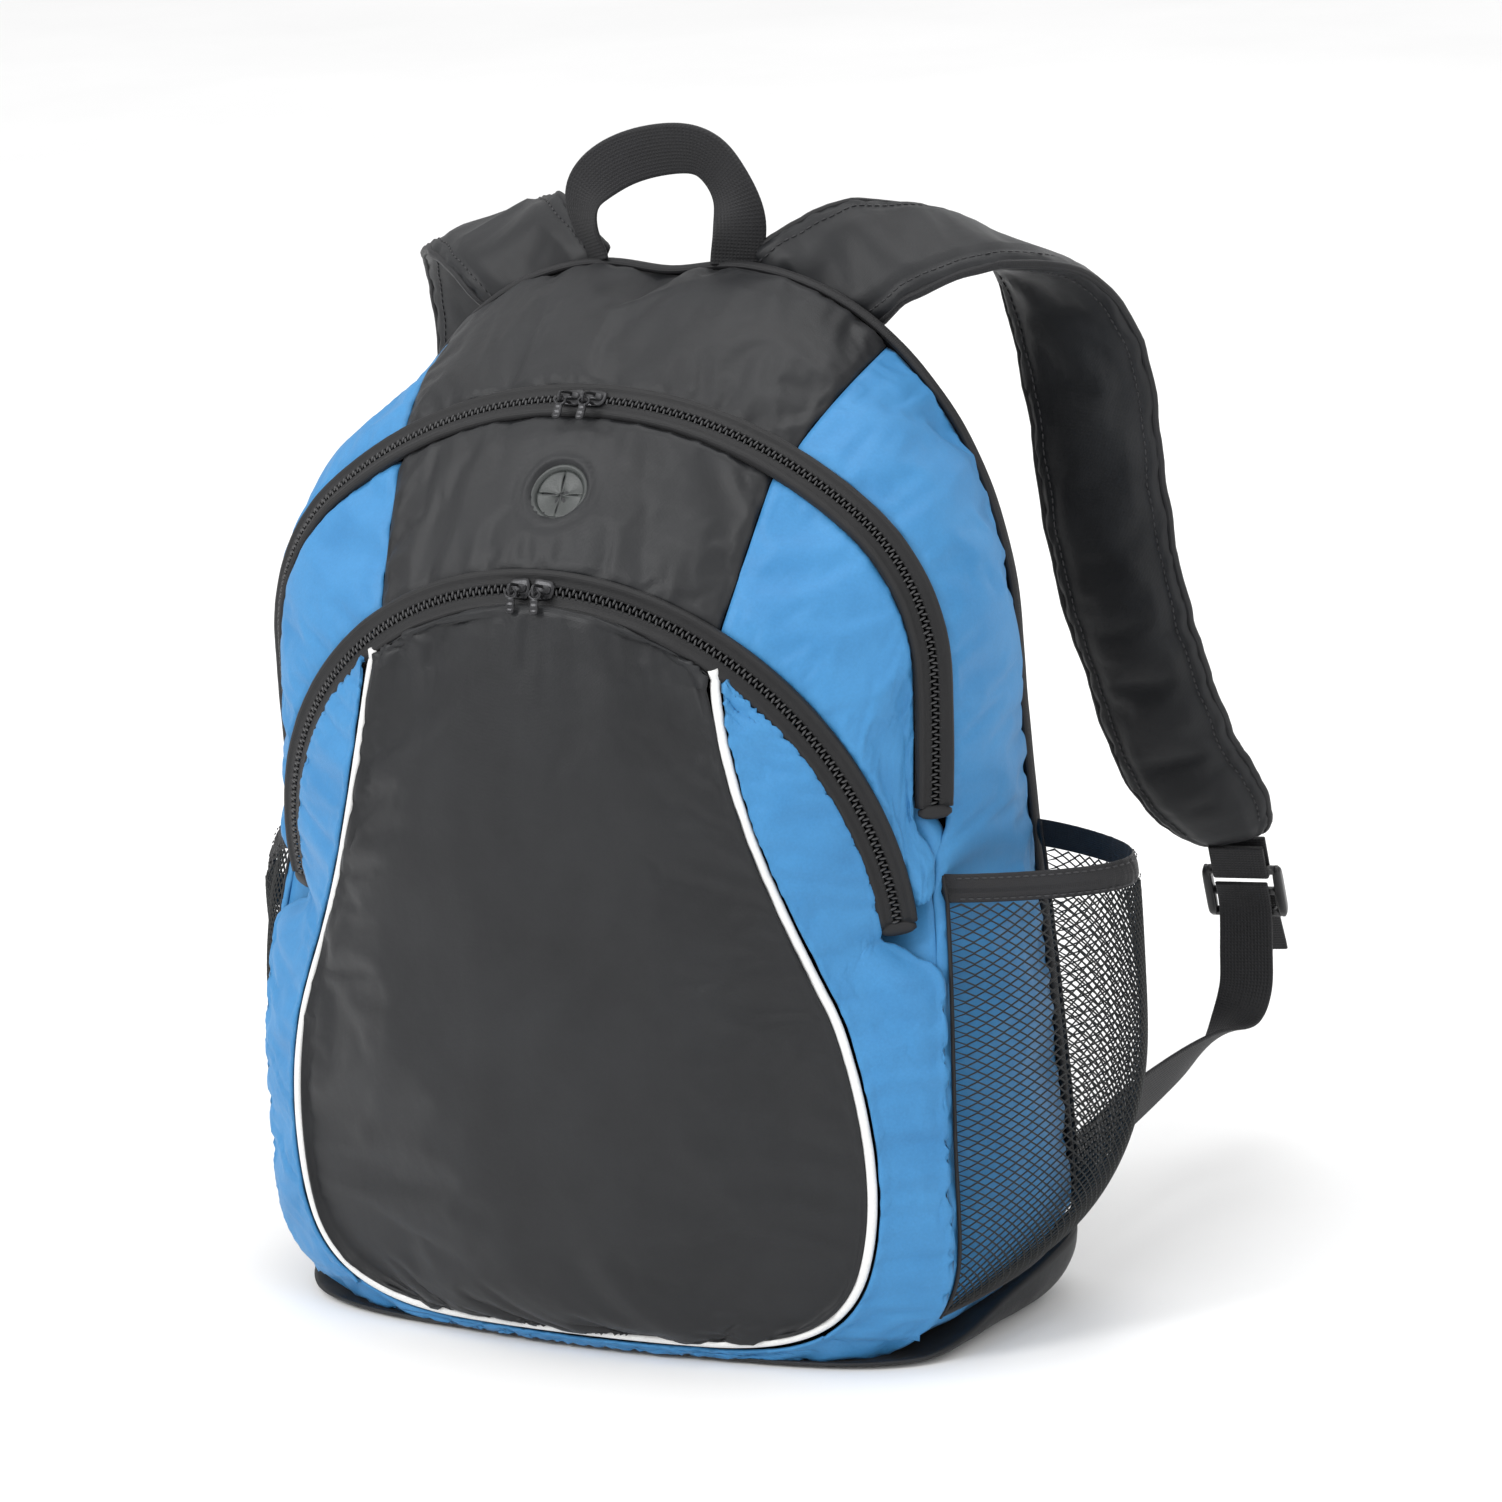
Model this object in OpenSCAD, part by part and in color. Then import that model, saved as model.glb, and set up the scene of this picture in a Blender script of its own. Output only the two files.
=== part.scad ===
// Daypack. Lofted fabric panels, two arched zips, a headphone port, mesh bottle
// pockets, a webbing grab handle and padded shoulder straps with ladder locks.
// Millimetres. +X is the right-hand side seen from the front, +Y points to the
// wearer's back, +Z is up. The origin is the middle of the flat base.

/* [Back panel] */
// Height of the top seam above the ground
back_top = 440; // [436:1:444]
// Distance of the back panel's outer face from the middle plane
back_y = 72; // [70:1:74]
// Thickness of the foam pads on the back
padding_t = 7; // [5:0.5:8]

/* [Main zip arch] */
// Radius over the top
arch_r = 200; // [198:1:202]
// Radius round each shoulder
shoulder_r = 87; // [86:1:88]
// Radius down each side
side_r = 860; // [850:5:870]
// Half angle of the top radius
arch_half_angle = 39; // [38:0.5:40]
// Backward lean of the arch's plane
arch_lean = 2.5; // [2:0.1:3]

/* [Front pocket] */
// Radius of the pocket zip's semicircle
pocket_r = 140; // [139:1:141]
// Forward lean of the pocket zip's plane
pocket_lean = 12.4; // [12:0.1:13]
// How far forward the filled pocket reaches
pocket_front = 88; // [85:1:90]
// Half width of the pack at its widest
body_half = 160; // [159:1:162]

/* [Colour panels] */
// Half width of the black centre at the main zip
centre_half_main = 92; // [90:1:94]
// Half width of the black centre at the pocket zip
centre_half_pocket = 80; // [79:1:81]

/* [Fabric] */
// Thickness of a lined and padded fabric panel
panel_t = 2; // [1.5:0.25:2.5]
// Thickness of the bottle mesh
mesh_t = 1.2; // [1:0.1:1.5]
// Diameter of the corded piping
piping_d = 4; // [3:0.5:4.5]

/* [Zips] */
// Width across both tapes and the coil
zip_w = 14; // [13:0.5:14]
// Thickness of a zip tape
tape_t = 0.9; // [0.7:0.1:1]
// Radius of the zip coil
coil_r = 1.9; // [1.7:0.1:2]
// Length of a slider along its zip
slider_l = 10; // [9:0.5:11]
// Length of a pull
pull_l = 10; // [8:1:14]

/* [Headphone port] */
// Outer diameter of the rubber ring
port_d = 31; // [29:1:32]
// Diameter of the slit membrane
membrane_d = 20; // [18:1:21]

/* [Bottle pockets] */
// How far the filled right pocket stands out
mesh_bulge_right = 53; // [50:1:56]
// How far the empty left pocket stands out
mesh_bulge_left = 18; // [16:1:22]
// Height of the elastic band round the mouth
band_h = 12; // [10:1:14]

/* [Straps] */
// Width of a shoulder pad
pad_w = 57; // [54:1:60]
// Thickness of a shoulder pad
pad_t = 12; // [10:1:13]
// Width of the webbing
webbing_w = 25; // [24:0.5:26]
// Thickness of the webbing
webbing_t = 1.8; // [1.5:0.1:2]

/* [Hidden] */
$fn = 48;

black = [0.15, 0.155, 0.165];
blue = [0.25, 0.56, 0.82];
white = [0.95, 0.95, 0.94];
rubber = [0.10, 0.10, 0.11];

// ---- Small helpers ----------------------------------------------------------
function lerp(a, b, t) = a + (b - a) * t;
function clamp01(t) = max(0, min(1, t));
function smooth(lo, hi, v) = let (t = clamp01((v - lo) / (hi - lo))) t * t * (3 - 2 * t);
function unit(v) = v / max(norm(v), 1e-9);
function arc_length(r, degrees) = r * degrees * PI / 180;
function bezier(p, t) =
    let (s = 1 - t)
    p[0] * s * s * s + p[1] * 3 * s * s * t + p[2] * 3 * s * t * t + p[3] * t * t * t;
function steps(n) = [for (i = [0:n]) i / n];
function flip_x(p) = [-p[0], p[1], p[2]];

// Catmull-Rom curve through hand-placed points, per points on each stretch.
function spline_at(p, k, t) =
    let (
        n = len(p) - 1,
        a = p[max(k - 1, 0)], b = p[k], c = p[min(k + 1, n)], d = p[min(k + 2, n)]
    )
    0.5 * (2 * b + (c - a) * t + (2 * a - 5 * b + 4 * c - d) * t * t
        + (3 * b - a - 3 * c + d) * t * t * t);
function spline(p, per) = concat(
    [for (k = [0:len(p) - 2], i = [0:per - 1]) spline_at(p, k, i / per)],
    [p[len(p) - 1]]
);

// ---- Guide curves -----------------------------------------------------------
// The main zip lies in a plane that leans back; v is the height within it.
arch_origin = [0, -24, 195];
arch_v0 = 5;
shoulder_c = [
    (arch_r - shoulder_r) * sin(arch_half_angle),
    arch_v0 + (arch_r - shoulder_r) * cos(arch_half_angle)
];
top_len = arc_length(arch_r, arch_half_angle);
shoulder_len = arc_length(shoulder_r, 90 - arch_half_angle);
side_angle = asin(shoulder_c[1] / side_r);
arch_len = top_len + shoulder_len + arc_length(side_r, side_angle);
zip_end_angle = 3.6;
zip_end_s = top_len + shoulder_len + arc_length(side_r, zip_end_angle);
split_s = arc_length(arch_r, asin(centre_half_main / arch_r));

function arch_part(s) =
    s < top_len ? [0, arch_v0, arch_r, s / arch_r * 180 / PI]
    : s < top_len + shoulder_len
        ? [shoulder_c[0], shoulder_c[1], shoulder_r,
            arch_half_angle + (s - top_len) / shoulder_r * 180 / PI]
    : [shoulder_c[0] + shoulder_r - side_r, shoulder_c[1], side_r,
        90 + (s - top_len - shoulder_len) / side_r * 180 / PI];

// s runs along the zip from its top centre, out moves away from the arch's centre,
// back moves along the plane's normal towards the wearer.
function arch_point(s, out, back) =
    let (
        a = arch_part(s),
        x = a[0] + (a[2] + out) * sin(a[3]),
        v = a[1] + (a[2] + out) * cos(a[3])
    )
    arch_origin + [
        x,
        v * sin(arch_lean) + back * cos(arch_lean),
        v * cos(arch_lean) - back * sin(arch_lean)
    ];

pocket_origin = [0, -36, 191];
// angle is measured from the pocket zip's top centre.
function pocket_point(angle, out, back) =
    let (x = (pocket_r + out) * sin(angle), v = (pocket_r + out) * cos(angle))
    pocket_origin + [
        x,
        -v * sin(pocket_lean) + back * cos(pocket_lean),
        v * cos(pocket_lean) + back * sin(pocket_lean)
    ];

// The seam between front and side below the zips.
seam_top = arch_origin[2];
seam_low = 4.5;
seam_wide_z = 100;
function seam_x(z) =
    z > seam_wide_z ? body_half - 7 * pow((z - seam_wide_z) / 95, 2)
    : body_half - 34 * pow((seam_wide_z - z) / 96, 6);
seam_forward = 20;
function seam_y(z) = arch_origin[1] - seam_forward * sin(90 * clamp01((seam_top - z) / 110));

// The back panel's outline, right half, from the top centre down.
back_split = [102, back_top - 33];
back_shoulder = [152, 290];
back_corner = [166, 33];
back_top_curve = [[0, back_top], [50, back_top], [80, back_top - 12], back_split];
back_round_curve = [back_split, [128, 383], [150, 345], back_shoulder];
back_side_curve = [back_shoulder, [153, 210], [163, 110], back_corner];
function on_back(p, y) = [p[0], y, p[1]];
back_round_share = 0.34;
function back_side_point(t, y) = on_back(
    t < back_round_share ? bezier(back_round_curve, t / back_round_share)
    : bezier(back_side_curve, (t - back_round_share) / (1 - back_round_share)), y);

// ---- Fabric built from a grid of points ----------------------------------------
function grid_normal(g, j, i) =
    let (
        rows = len(g) - 1, cols = len(g[0]) - 1,
        along = g[j][min(i + 1, cols)] - g[j][max(i - 1, 0)],
        across = g[min(j + 1, rows)][i] - g[max(j - 1, 0)][i]
    )
    unit(cross(along, across));
function grid_offset(g, d) = [
    for (j = [0:len(g) - 1]) [
        for (i = [0:len(g[0]) - 1]) g[j][i] + grid_normal(g, j, i) * d
    ]
];
// Rows run from edge a to edge b and swell by bulge halfway.
function loft(a, b, rows, bulge) =
    let (flat = [for (w = steps(rows)) [for (i = [0:len(a) - 1]) lerp(a[i], b[i], w)]])
    [
        for (j = [0:rows]) [
            for (i = [0:len(a) - 1])
                flat[j][i] + grid_normal(flat, j, i) * bulge * sin(180 * j / rows)
        ]
    ];

// A closed solid between a grid and its copy moved inwards by t. A negative t suits
// a grid whose rows run the other way round.
function turned(face) = [for (k = [len(face) - 1:-1:0]) face[k]];
module cloth(g, t) {
    m = len(g);
    n = len(g[0]);
    inner = grid_offset(g, -t);
    points = concat([for (r = g) each r], [for (r = inner) each r]);
    function at(j, i, k) = k * m * n + j * n + i;
    faces = concat(
        [for (j = [0:m - 2], i = [0:n - 2]) each [
            [at(j, i, 0), at(j + 1, i, 0), at(j + 1, i + 1, 0)],
            [at(j, i, 0), at(j + 1, i + 1, 0), at(j, i + 1, 0)],
            [at(j, i, 1), at(j + 1, i + 1, 1), at(j + 1, i, 1)],
            [at(j, i, 1), at(j, i + 1, 1), at(j + 1, i + 1, 1)]
        ]],
        [for (i = [0:n - 2]) each [
            [at(0, i, 0), at(0, i + 1, 0), at(0, i + 1, 1), at(0, i, 1)],
            [at(m - 1, i + 1, 0), at(m - 1, i, 0), at(m - 1, i, 1), at(m - 1, i + 1, 1)]
        ]],
        [for (j = [0:m - 2]) each [
            [at(j + 1, 0, 0), at(j, 0, 0), at(j, 0, 1), at(j + 1, 0, 1)],
            [at(j, n - 1, 0), at(j + 1, n - 1, 0), at(j + 1, n - 1, 1), at(j, n - 1, 1)]
        ]]
    );
    polyhedron(points, t > 0 ? faces : [for (face = faces) turned(face)]);
}

// A band swept along a route. sides[i] points along its width at route[i], and
// taper narrows the last stretch by that share of the width.
taper_from = 0.84;
module band(route, sides, w, t, edge = 0.5, taper = 0) {
    last = len(route) - 1;
    shape = [
        [-w / 2, -t / 2 + t * edge / 2], [-w / 2 + t * edge, -t / 2], [w / 2 - t * edge, -t / 2],
        [w / 2, -t / 2 + t * edge / 2], [w / 2, t / 2 - t * edge / 2], [w / 2 - t * edge, t / 2],
        [-w / 2 + t * edge, t / 2], [-w / 2, t / 2 - t * edge / 2]
    ];
    k = len(shape);
    points = [
        for (i = [0:last])
            let (
                along = unit(route[min(i + 1, last)] - route[max(i - 1, 0)]),
                up = unit(cross(along, sides[i])),
                side = cross(up, along),
                share = 1 - taper * pow(clamp01((i / last - taper_from) / (1 - taper_from)), 2)
            )
            each [for (p = shape) route[i] + side * p[0] * share + up * p[1]]
    ];
    faces = concat(
        [[for (c = [0:k - 1]) c]],
        [[for (c = [k - 1:-1:0]) last * k + c]],
        [for (i = [0:last - 1], c = [0:k - 1]) let (d = (c + 1) % k) each [
            [i * k + c, (i + 1) * k + c, (i + 1) * k + d],
            [i * k + c, (i + 1) * k + d, i * k + d]
        ]]
    );
    polyhedron(points, faces);
}

// ---- Panels of the main compartment ------------------------------------------
// Where each panel's edge lies beside the zip: [out, back] from the zip's line.
rear_edge = [1, 9];
front_edge = [-9, -3];
seam_gap = 1;
function zip_open(s) = 1 - smooth(zip_end_s + 4, zip_end_s + 22, s);
function rear_edge_point(s) =
    arch_point(s, rear_edge[0], lerp(seam_gap, rear_edge[1], zip_open(s)));
function front_edge_point(s) =
    arch_point(s, lerp(-seam_gap, front_edge[0], zip_open(s)), front_edge[1] * zip_open(s));

arch_share = 0.54;
function side_front_point(t) =
    t < arch_share ? rear_edge_point(lerp(split_s + 0.3, arch_len, t / arch_share))
    : let (z = lerp(seam_top, seam_low, (t - arch_share) / (1 - arch_share)))
        [seam_x(z) + seam_gap, seam_y(z) + seam_gap, z];

gusset_bulge = 9;
module side_panel() {
    t = steps(30);
    color(blue) cloth(loft(
        [for (u = t) side_front_point(u)],
        [for (u = t) back_side_point(u, back_y - 4)], 7, gusset_bulge), panel_t);
}

top_bulge = 4;
module top_panel() {
    u = [for (i = [-12:12]) i / 12];
    color(black) cloth(loft(
        [for (k = u) let (p = rear_edge_point(abs(k) * (split_s - 0.3))) [sign(k) * p[0], p[1], p[2]]],
        [for (k = u) let (p = bezier(back_top_curve, abs(k) * 0.99)) [sign(k) * p[0], back_y - 4, p[1]]],
        6, top_bulge), panel_t);
}

function back_outline(n) = concat(
    [for (t = steps(n)) bezier(back_top_curve, t)],
    [for (i = [1:n]) bezier(back_round_curve, i / n)],
    [for (i = [1:n]) bezier(back_side_curve, i / n)]
);
module back_plate(inset, t) {
    half = back_outline(8);
    last = len(half) - 1;
    middle = [0, 220];
    shrink = [1 - inset / 155, 1 - inset / 210];
    function placed(p) = [p[0] * shrink[0], middle[1] + (p[1] - middle[1]) * shrink[1]];
    outline = concat([for (p = half) placed(p)],
        [for (i = [last:-1:1]) let (q = placed(half[i])) [-q[0], q[1]]]);
    rotate([90, 0, 0]) linear_extrude(t) polygon(outline);
}
module back_panel() {
    color(black) translate([0, back_y, 0]) back_plate(0, 3);
}

pad_columns = [-92, 0, 92];
pad_size = [82, 300];
pad_centre_z = 220;
module back_padding() {
    color(black) for (x = pad_columns)
        translate([x, back_y + padding_t, pad_centre_z])
            rotate([90, 0, 0]) linear_extrude(padding_t)
                hull() for (sx = [-1, 1], sz = [-1, 1])
                    translate([sx * (pad_size[0] / 2 - 14), sz * (pad_size[1] / 2 - 14)])
                        circle(14, $fn = 32);
}

// The base pan: flat underneath, its wall rises from the front to the back.
pan_centre_y = 1;
pan_half = [159, 69];
pan_flare = 0.09;
pan_floor_half = [146, 54];
pan_floor_shift = -6;
pan_front_power = 3.4;
pan_back_power = 12;
function pan_rim_z(y) = y < -44 ? 2.2 + (y + 68) * 0.04 : 3.16 + (y + 44) * 0.246;
function pan_ring(half, n) = [
    for (i = [0:n - 1])
        let (
            a = 360 * i / n,
            power = sin(a) < 0 ? pan_front_power : pan_back_power,
            c = abs(cos(a)), s = abs(sin(a)),
            r = pow(pow(c, power) + pow(s, power), -1 / power)
        )
        let (y = pan_centre_y + half[1] * sin(a) * r)
        [half[0] * cos(a) * r * (1 + pan_flare * smooth(-30, 60, y)), y]
];
module base_panel() {
    n = 64;
    function shifted(p, d) = [p[0], p[1] + d];
    outer = pan_ring(pan_half, n);
    sole = [for (p = pan_ring(pan_floor_half, n)) shifted(p, pan_floor_shift)];
    inner = pan_ring(pan_half - [panel_t, panel_t], n);
    insole = [for (p = pan_ring(pan_floor_half - [panel_t, panel_t], n)) shifted(p, pan_floor_shift)];
    rings = [
        [for (p = sole) [p[0], p[1], 0]],
        [for (i = [0:n - 1])
            let (p = lerp(sole[i], outer[i], 0.75)) [p[0], p[1], pan_rim_z(outer[i][1]) * 0.25]],
        [for (p = outer) [p[0], p[1], pan_rim_z(p[1])]],
        [for (i = [0:n - 1]) [inner[i][0], inner[i][1], pan_rim_z(outer[i][1])]],
        [for (i = [0:n - 1])
            let (p = lerp(insole[i], inner[i], 0.75))
            [p[0], p[1], pan_rim_z(outer[i][1]) * 0.25 + 1.6]],
        [for (p = insole) [p[0], p[1], panel_t]]
    ];
    last = len(rings) - 1;
    middle = [0, pan_centre_y + pan_floor_shift];
    count = (last + 1) * n;
    points = concat([for (r = rings) each r],
        [[middle[0], middle[1], 0], [middle[0], middle[1], panel_t]]);
    faces = concat(
        [for (i = [0:n - 1]) [i, (i + 1) % n, count]],
        [for (i = [0:n - 1]) [last * n + (i + 1) % n, last * n + i, count + 1]],
        [for (j = [0:last - 1], i = [0:n - 1]) let (k = (i + 1) % n) each [
            [j * n + i, (j + 1) * n + i, (j + 1) * n + k],
            [j * n + i, (j + 1) * n + k, j * n + k]
        ]]
    );
    color(black) polyhedron(points, faces);
}

// Front of the main compartment: the crescent between the two zips.
upper_edge = [7.5, 3.3];
lower_edge = [-5.7, -5];
crescent_split = asin(centre_half_pocket / (pocket_r + upper_edge[0]));
crescent_tip_s = arch_len - 4;
crescent_tip_angle = 89;
port_y = -38;
port_z = 361;
port_tilt = 52;
port_seat = 1;
module port_axis() {
    translate([0, port_y, port_z]) rotate([port_tilt, 0, 0]) children();
}
module main_front_side() {
    t = steps(22);
    color(blue) cloth(loft(
        [for (u = t) pocket_point(lerp(crescent_split + 0.2, crescent_tip_angle, u),
            upper_edge[0], upper_edge[1])],
        [for (u = t) front_edge_point(lerp(split_s + 0.3, crescent_tip_s, u))],
        6, 3), panel_t);
}
module main_front_center() {
    u = [for (i = [-10:10]) i / 10];
    color(black) difference() {
        cloth(loft(
            [for (k = u) pocket_point(k * (crescent_split - 0.2), upper_edge[0], upper_edge[1])],
            [for (k = u) let (p = front_edge_point(abs(k) * (split_s - 0.3)))
                [sign(k) * p[0], p[1], p[2]]],
            6, -3), panel_t);
        port_axis() {
            cylinder(h = 30, r = membrane_d / 2 + 1, center = true);
            translate([0, 0, port_seat]) cylinder(h = 8, r = port_d / 2 + 0.4);
        }
    }
}

// ---- Front pocket -------------------------------------------------------------
face_top_z = 323.7;
face_low_z = 4;
face_low_y = 69;
face_wide_z = 105;
function arc_half(z) =
    let (v = (z - pocket_origin[2] + 1) / cos(pocket_lean), r = pocket_r + lower_edge[0] - 1)
    sqrt(max(r * r - v * v, 1));
blend_low = 164;
blend_high = 183;
function face_half(z) =
    z > blend_high ? arc_half(z)
    : lerp(seam_x(z) - seam_gap, pocket_r + lower_edge[0] - 1, smooth(blend_low, blend_high, z));
function face_edge_y(z) =
    lerp(seam_y(z), -40.9 - 0.22 * (z - 190), smooth(blend_low, blend_high, z));
function face_middle_y(z) =
    z > face_wide_z
        ? -pocket_front + (pocket_front - 70.3) * pow((z - face_wide_z) / (face_top_z - face_wide_z), 2)
    : -pocket_front + (pocket_front - face_low_y) * pow((face_wide_z - z) / (face_wide_z - face_low_z), 5);
function face_point(x, z) =
    let (
        k = clamp01(abs(x) / face_half(z)),
        fall = pow(1 - pow(k, 2.4), 0.75)
    )
    [x, lerp(face_edge_y(z), face_middle_y(z), fall), z];

// The pear-shaped centre panel's outline, right half, from the zip down.
pear_waist = [[79, 300], [84, 255], [100, 205], [119, 163]];
pear_hip = [[119, 163], [134, 132], [142, 80], [130, 45]];
pear_foot_z = 10.5;
pear_foot = [[130, 45], [121, 21], [98, pear_foot_z], [60, pear_foot_z]];
function pear_outline(t) =
    t < 0.4 ? bezier(pear_waist, t / 0.4)
    : t < 0.72 ? bezier(pear_hip, (t - 0.4) / 0.32)
    : t < 0.9 ? bezier(pear_foot, (t - 0.72) / 0.18)
    : [60 * (1 - t) / 0.1, pear_foot_z];
function face_outline(t) =
    t < 0.4
        ? let (p = pocket_point(lerp(35.2, 88.6, t / 0.4), lower_edge[0] - 1, lower_edge[1])) [p[0], p[2]]
    : t < 0.72 ? let (z = lerp(189.5, 45, (t - 0.4) / 0.32)) [face_half(z), z]
    : t < 0.84 ? let (z = lerp(45, face_low_z, pow((t - 0.72) / 0.12, 0.7))) [face_half(z), z]
    : [128 * (1 - t) / 0.16, face_low_z];
piping_gap = piping_d / 2 + 0.4;
function pear_normal(t) =
    let (
        m = max(0.01, min(t, 0.98)),
        d = unit(pear_outline(m + 0.01) - pear_outline(m - 0.01))
    )
    [-d[1], d[0]];
function pear_offset(t, d) = pear_outline(t) + pear_normal(t) * d;

ring_rows = 6;
function face_ring(from, to, n) = [
    for (w = [0:ring_rows]) [
        for (i = [0:n])
            let (
                t = lerp(from, to, i / n),
                a = pear_offset(t, piping_gap + 0.4),
                b = face_outline(t),
                k = 1 - pow(1 - w / ring_rows, 1.6),
                q = lerp(a, b, k)
            )
            face_point(q[0], max(q[1], face_low_z))
    ]
];
module pocket_side() {
    color(blue) cloth(face_ring(0.03, 0.8, 26), -panel_t);
}
module pocket_bottom_band() {
    right = face_ring(0.803, 1, 10);
    whole = [for (r = right) concat(r, [for (i = [9:-1:0]) flip_x(r[i])])];
    color(blue) cloth(whole, -panel_t);
}
module pocket_center() {
    cap = [for (c = steps(4)) [for (i = [-10:10])
        let (
            p = pocket_point(i / 10 * 35, lower_edge[0], lower_edge[1]),
            low = [i / 10 * (79 - piping_gap), 292]
        )
        let (q = [lerp(p[0], low[0], c), lerp(p[2] - 0.3, low[1], c)])
        face_point(q[0], q[1])]];
    rest = [for (t = [0.07:0.04:0.91]) let (p = pear_offset(min(t, 0.895), -piping_gap))
        [for (i = [-10:10]) face_point(i / 10 * p[0], p[1])]];
    color(black) cloth(concat(cap, rest), panel_t);
}
module white_piping() {
    outline = [for (t = [0.02:0.02:0.9]) pear_outline(t)];
    n = len(outline) - 1;
    half = [for (p = outline) face_point(p[0], p[1]) + [0, -0.8, 0]];
    whole = concat(half, [for (i = [n:-1:0]) flip_x(half[i])]);
    color(white) band(whole, [for (p = whole) [0, 1, 0]], piping_d * 0.8, piping_d, 0.3);
}

wall_low_z = 16;
module pocket_back_wall() {
    rows = concat(
        [for (t = steps(8)) let (a = lerp(8, 86, t)) pocket_point(a, 0, 9)],
        [for (i = [1:8]) let (z = lerp(178, wall_low_z, i / 8)) [seam_x(z) - 14, seam_y(z) + 12, z]]
    );
    color(black) cloth([for (p = rows) [for (k = [-6:6]) [p[0] * k / 6, p[1], p[2]]]], panel_t);
}

// ---- Zips ----------------------------------------------------------------------
// A zip's section: +x is its rear or upper side, +y faces outwards.
main_zip_at = [-4, -3];
main_zip_turn = -50.2;
pocket_zip_at = [1, 1];
pocket_zip_turn = -33.7;
tape_gap = 0.3;
module tape_section(side) {
    w = zip_w / 2 - coil_r - tape_gap;
    translate([side * (coil_r + tape_gap + w / 2), 0]) square([w, tape_t], center = true);
}
module coil_section() {
    circle(coil_r, $fn = 16);
}
// The slider's section hugs the coil from outside.
slider_h = 3.2;
slider_half = 4.4;
module slider_section() {
    difference() {
        translate([-slider_half, tape_t / 2 + 0.3]) square([2 * slider_half, slider_h]);
        circle(coil_r + 0.35, $fn = 32);
    }
}
module place_section(r, at, turn) {
    translate([r + at[0], at[1]]) rotate(turn) children();
}
module in_main_plane() {
    translate(arch_origin) rotate([90 - arch_lean, 0, 0]) children();
}
module in_pocket_plane() {
    translate(pocket_origin) rotate([90 + pocket_lean, 0, 0]) children();
}
// The stretches of one zip are kept a hair apart where their radii change.
joint_angle = 0.02;
module main_zip_sweep() {
    in_main_plane() {
        translate([0, arch_v0]) rotate(90 - arch_half_angle)
            rotate_extrude(angle = 2 * arch_half_angle, $fn = 180)
                place_section(arch_r, main_zip_at, main_zip_turn) children();
        for (m = [0, 1]) mirror([m, 0, 0]) {
            translate(shoulder_c) rotate(joint_angle)
                rotate_extrude(angle = 90 - arch_half_angle - 2 * joint_angle, $fn = 120)
                    place_section(shoulder_r, main_zip_at, main_zip_turn) children();
            translate([shoulder_c[0] + shoulder_r - side_r, shoulder_c[1]])
                rotate(-zip_end_angle) rotate_extrude(angle = zip_end_angle, $fn = 240)
                    place_section(side_r, main_zip_at, main_zip_turn) children();
        }
    }
}
pocket_zip_half = 91;
module pocket_zip_sweep() {
    in_pocket_plane() rotate(90 - pocket_zip_half)
        rotate_extrude(angle = 2 * pocket_zip_half, $fn = 180)
            place_section(pocket_r, pocket_zip_at, pocket_zip_turn) children();
}
module main_zip_tape_rear() { color(black) main_zip_sweep() tape_section(1); }
module main_zip_tape_front() { color(black) main_zip_sweep() tape_section(-1); }
module main_zip_coil() { color(rubber) main_zip_sweep() coil_section(); }
module pocket_zip_tape_upper() { color(black) pocket_zip_sweep() tape_section(1); }
module pocket_zip_tape_lower() { color(black) pocket_zip_sweep() tape_section(-1); }
module pocket_zip_coil() { color(rubber) pocket_zip_sweep() coil_section(); }

stop_t = 2.2;
module stop_section() { square([zip_w - 5, 2.6], center = true); }
module zip_end_stops() {
    main_stop_angle = stop_t / side_r * 180 / PI;
    pocket_stop_angle = stop_t / pocket_r * 180 / PI;
    color(black) for (m = [0, 1]) mirror([m, 0, 0]) {
        in_main_plane() translate([shoulder_c[0] + shoulder_r - side_r, shoulder_c[1]])
            rotate(-zip_end_angle - main_stop_angle - 0.02)
                rotate_extrude(angle = main_stop_angle, $fn = 240)
                    place_section(side_r, main_zip_at, main_zip_turn) stop_section();
        in_pocket_plane() rotate(90 - pocket_zip_half - pocket_stop_angle - 0.1)
            rotate_extrude(angle = pocket_stop_angle, $fn = 180)
                place_section(pocket_r, pocket_zip_at, pocket_zip_turn) stop_section();
    }
}

// Two sliders meet at the top centre of each zip. Each is an arc of its own zip.
slider_gap = 0.5;
module slider(r, at, turn) {
    whole = slider_l / r * 180 / PI;
    start = slider_gap / r * 180 / PI;
    rotate(90 - start - whole) rotate_extrude(angle = whole, $fn = 180)
        place_section(r, at, turn) slider_section();
}
module main_slider() {
    color(rubber) in_main_plane() translate([0, arch_v0]) slider(arch_r, main_zip_at, main_zip_turn);
}
module pocket_slider() {
    color(rubber) in_pocket_plane() slider(pocket_r, pocket_zip_at, pocket_zip_turn);
}

// A pull hangs from a short bail just in front of its slider.
pull_w = 4.6;
pull_t = 1.6;
pull_x = slider_gap + slider_l / 2;
main_pull_pivot = [pull_x, -22.6, 399.2];
pocket_pull_pivot = [pull_x, -75.8, 330.4];
module pull(pivot, drop) {
    translate(pivot) rotate([drop, 0, 0]) {
        rotate([0, 90, 0]) cylinder(r = 1.3, h = pull_w, center = true);
        translate([0, 0, -pull_l / 2 - 1]) cube([pull_w, pull_t, pull_l], center = true);
    }
}
main_pull_drop = -38;
pocket_pull_drop = -14;
module main_pull() { color(rubber) pull(main_pull_pivot, main_pull_drop); }
module pocket_pull() { color(rubber) pull(pocket_pull_pivot, pocket_pull_drop); }

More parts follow.
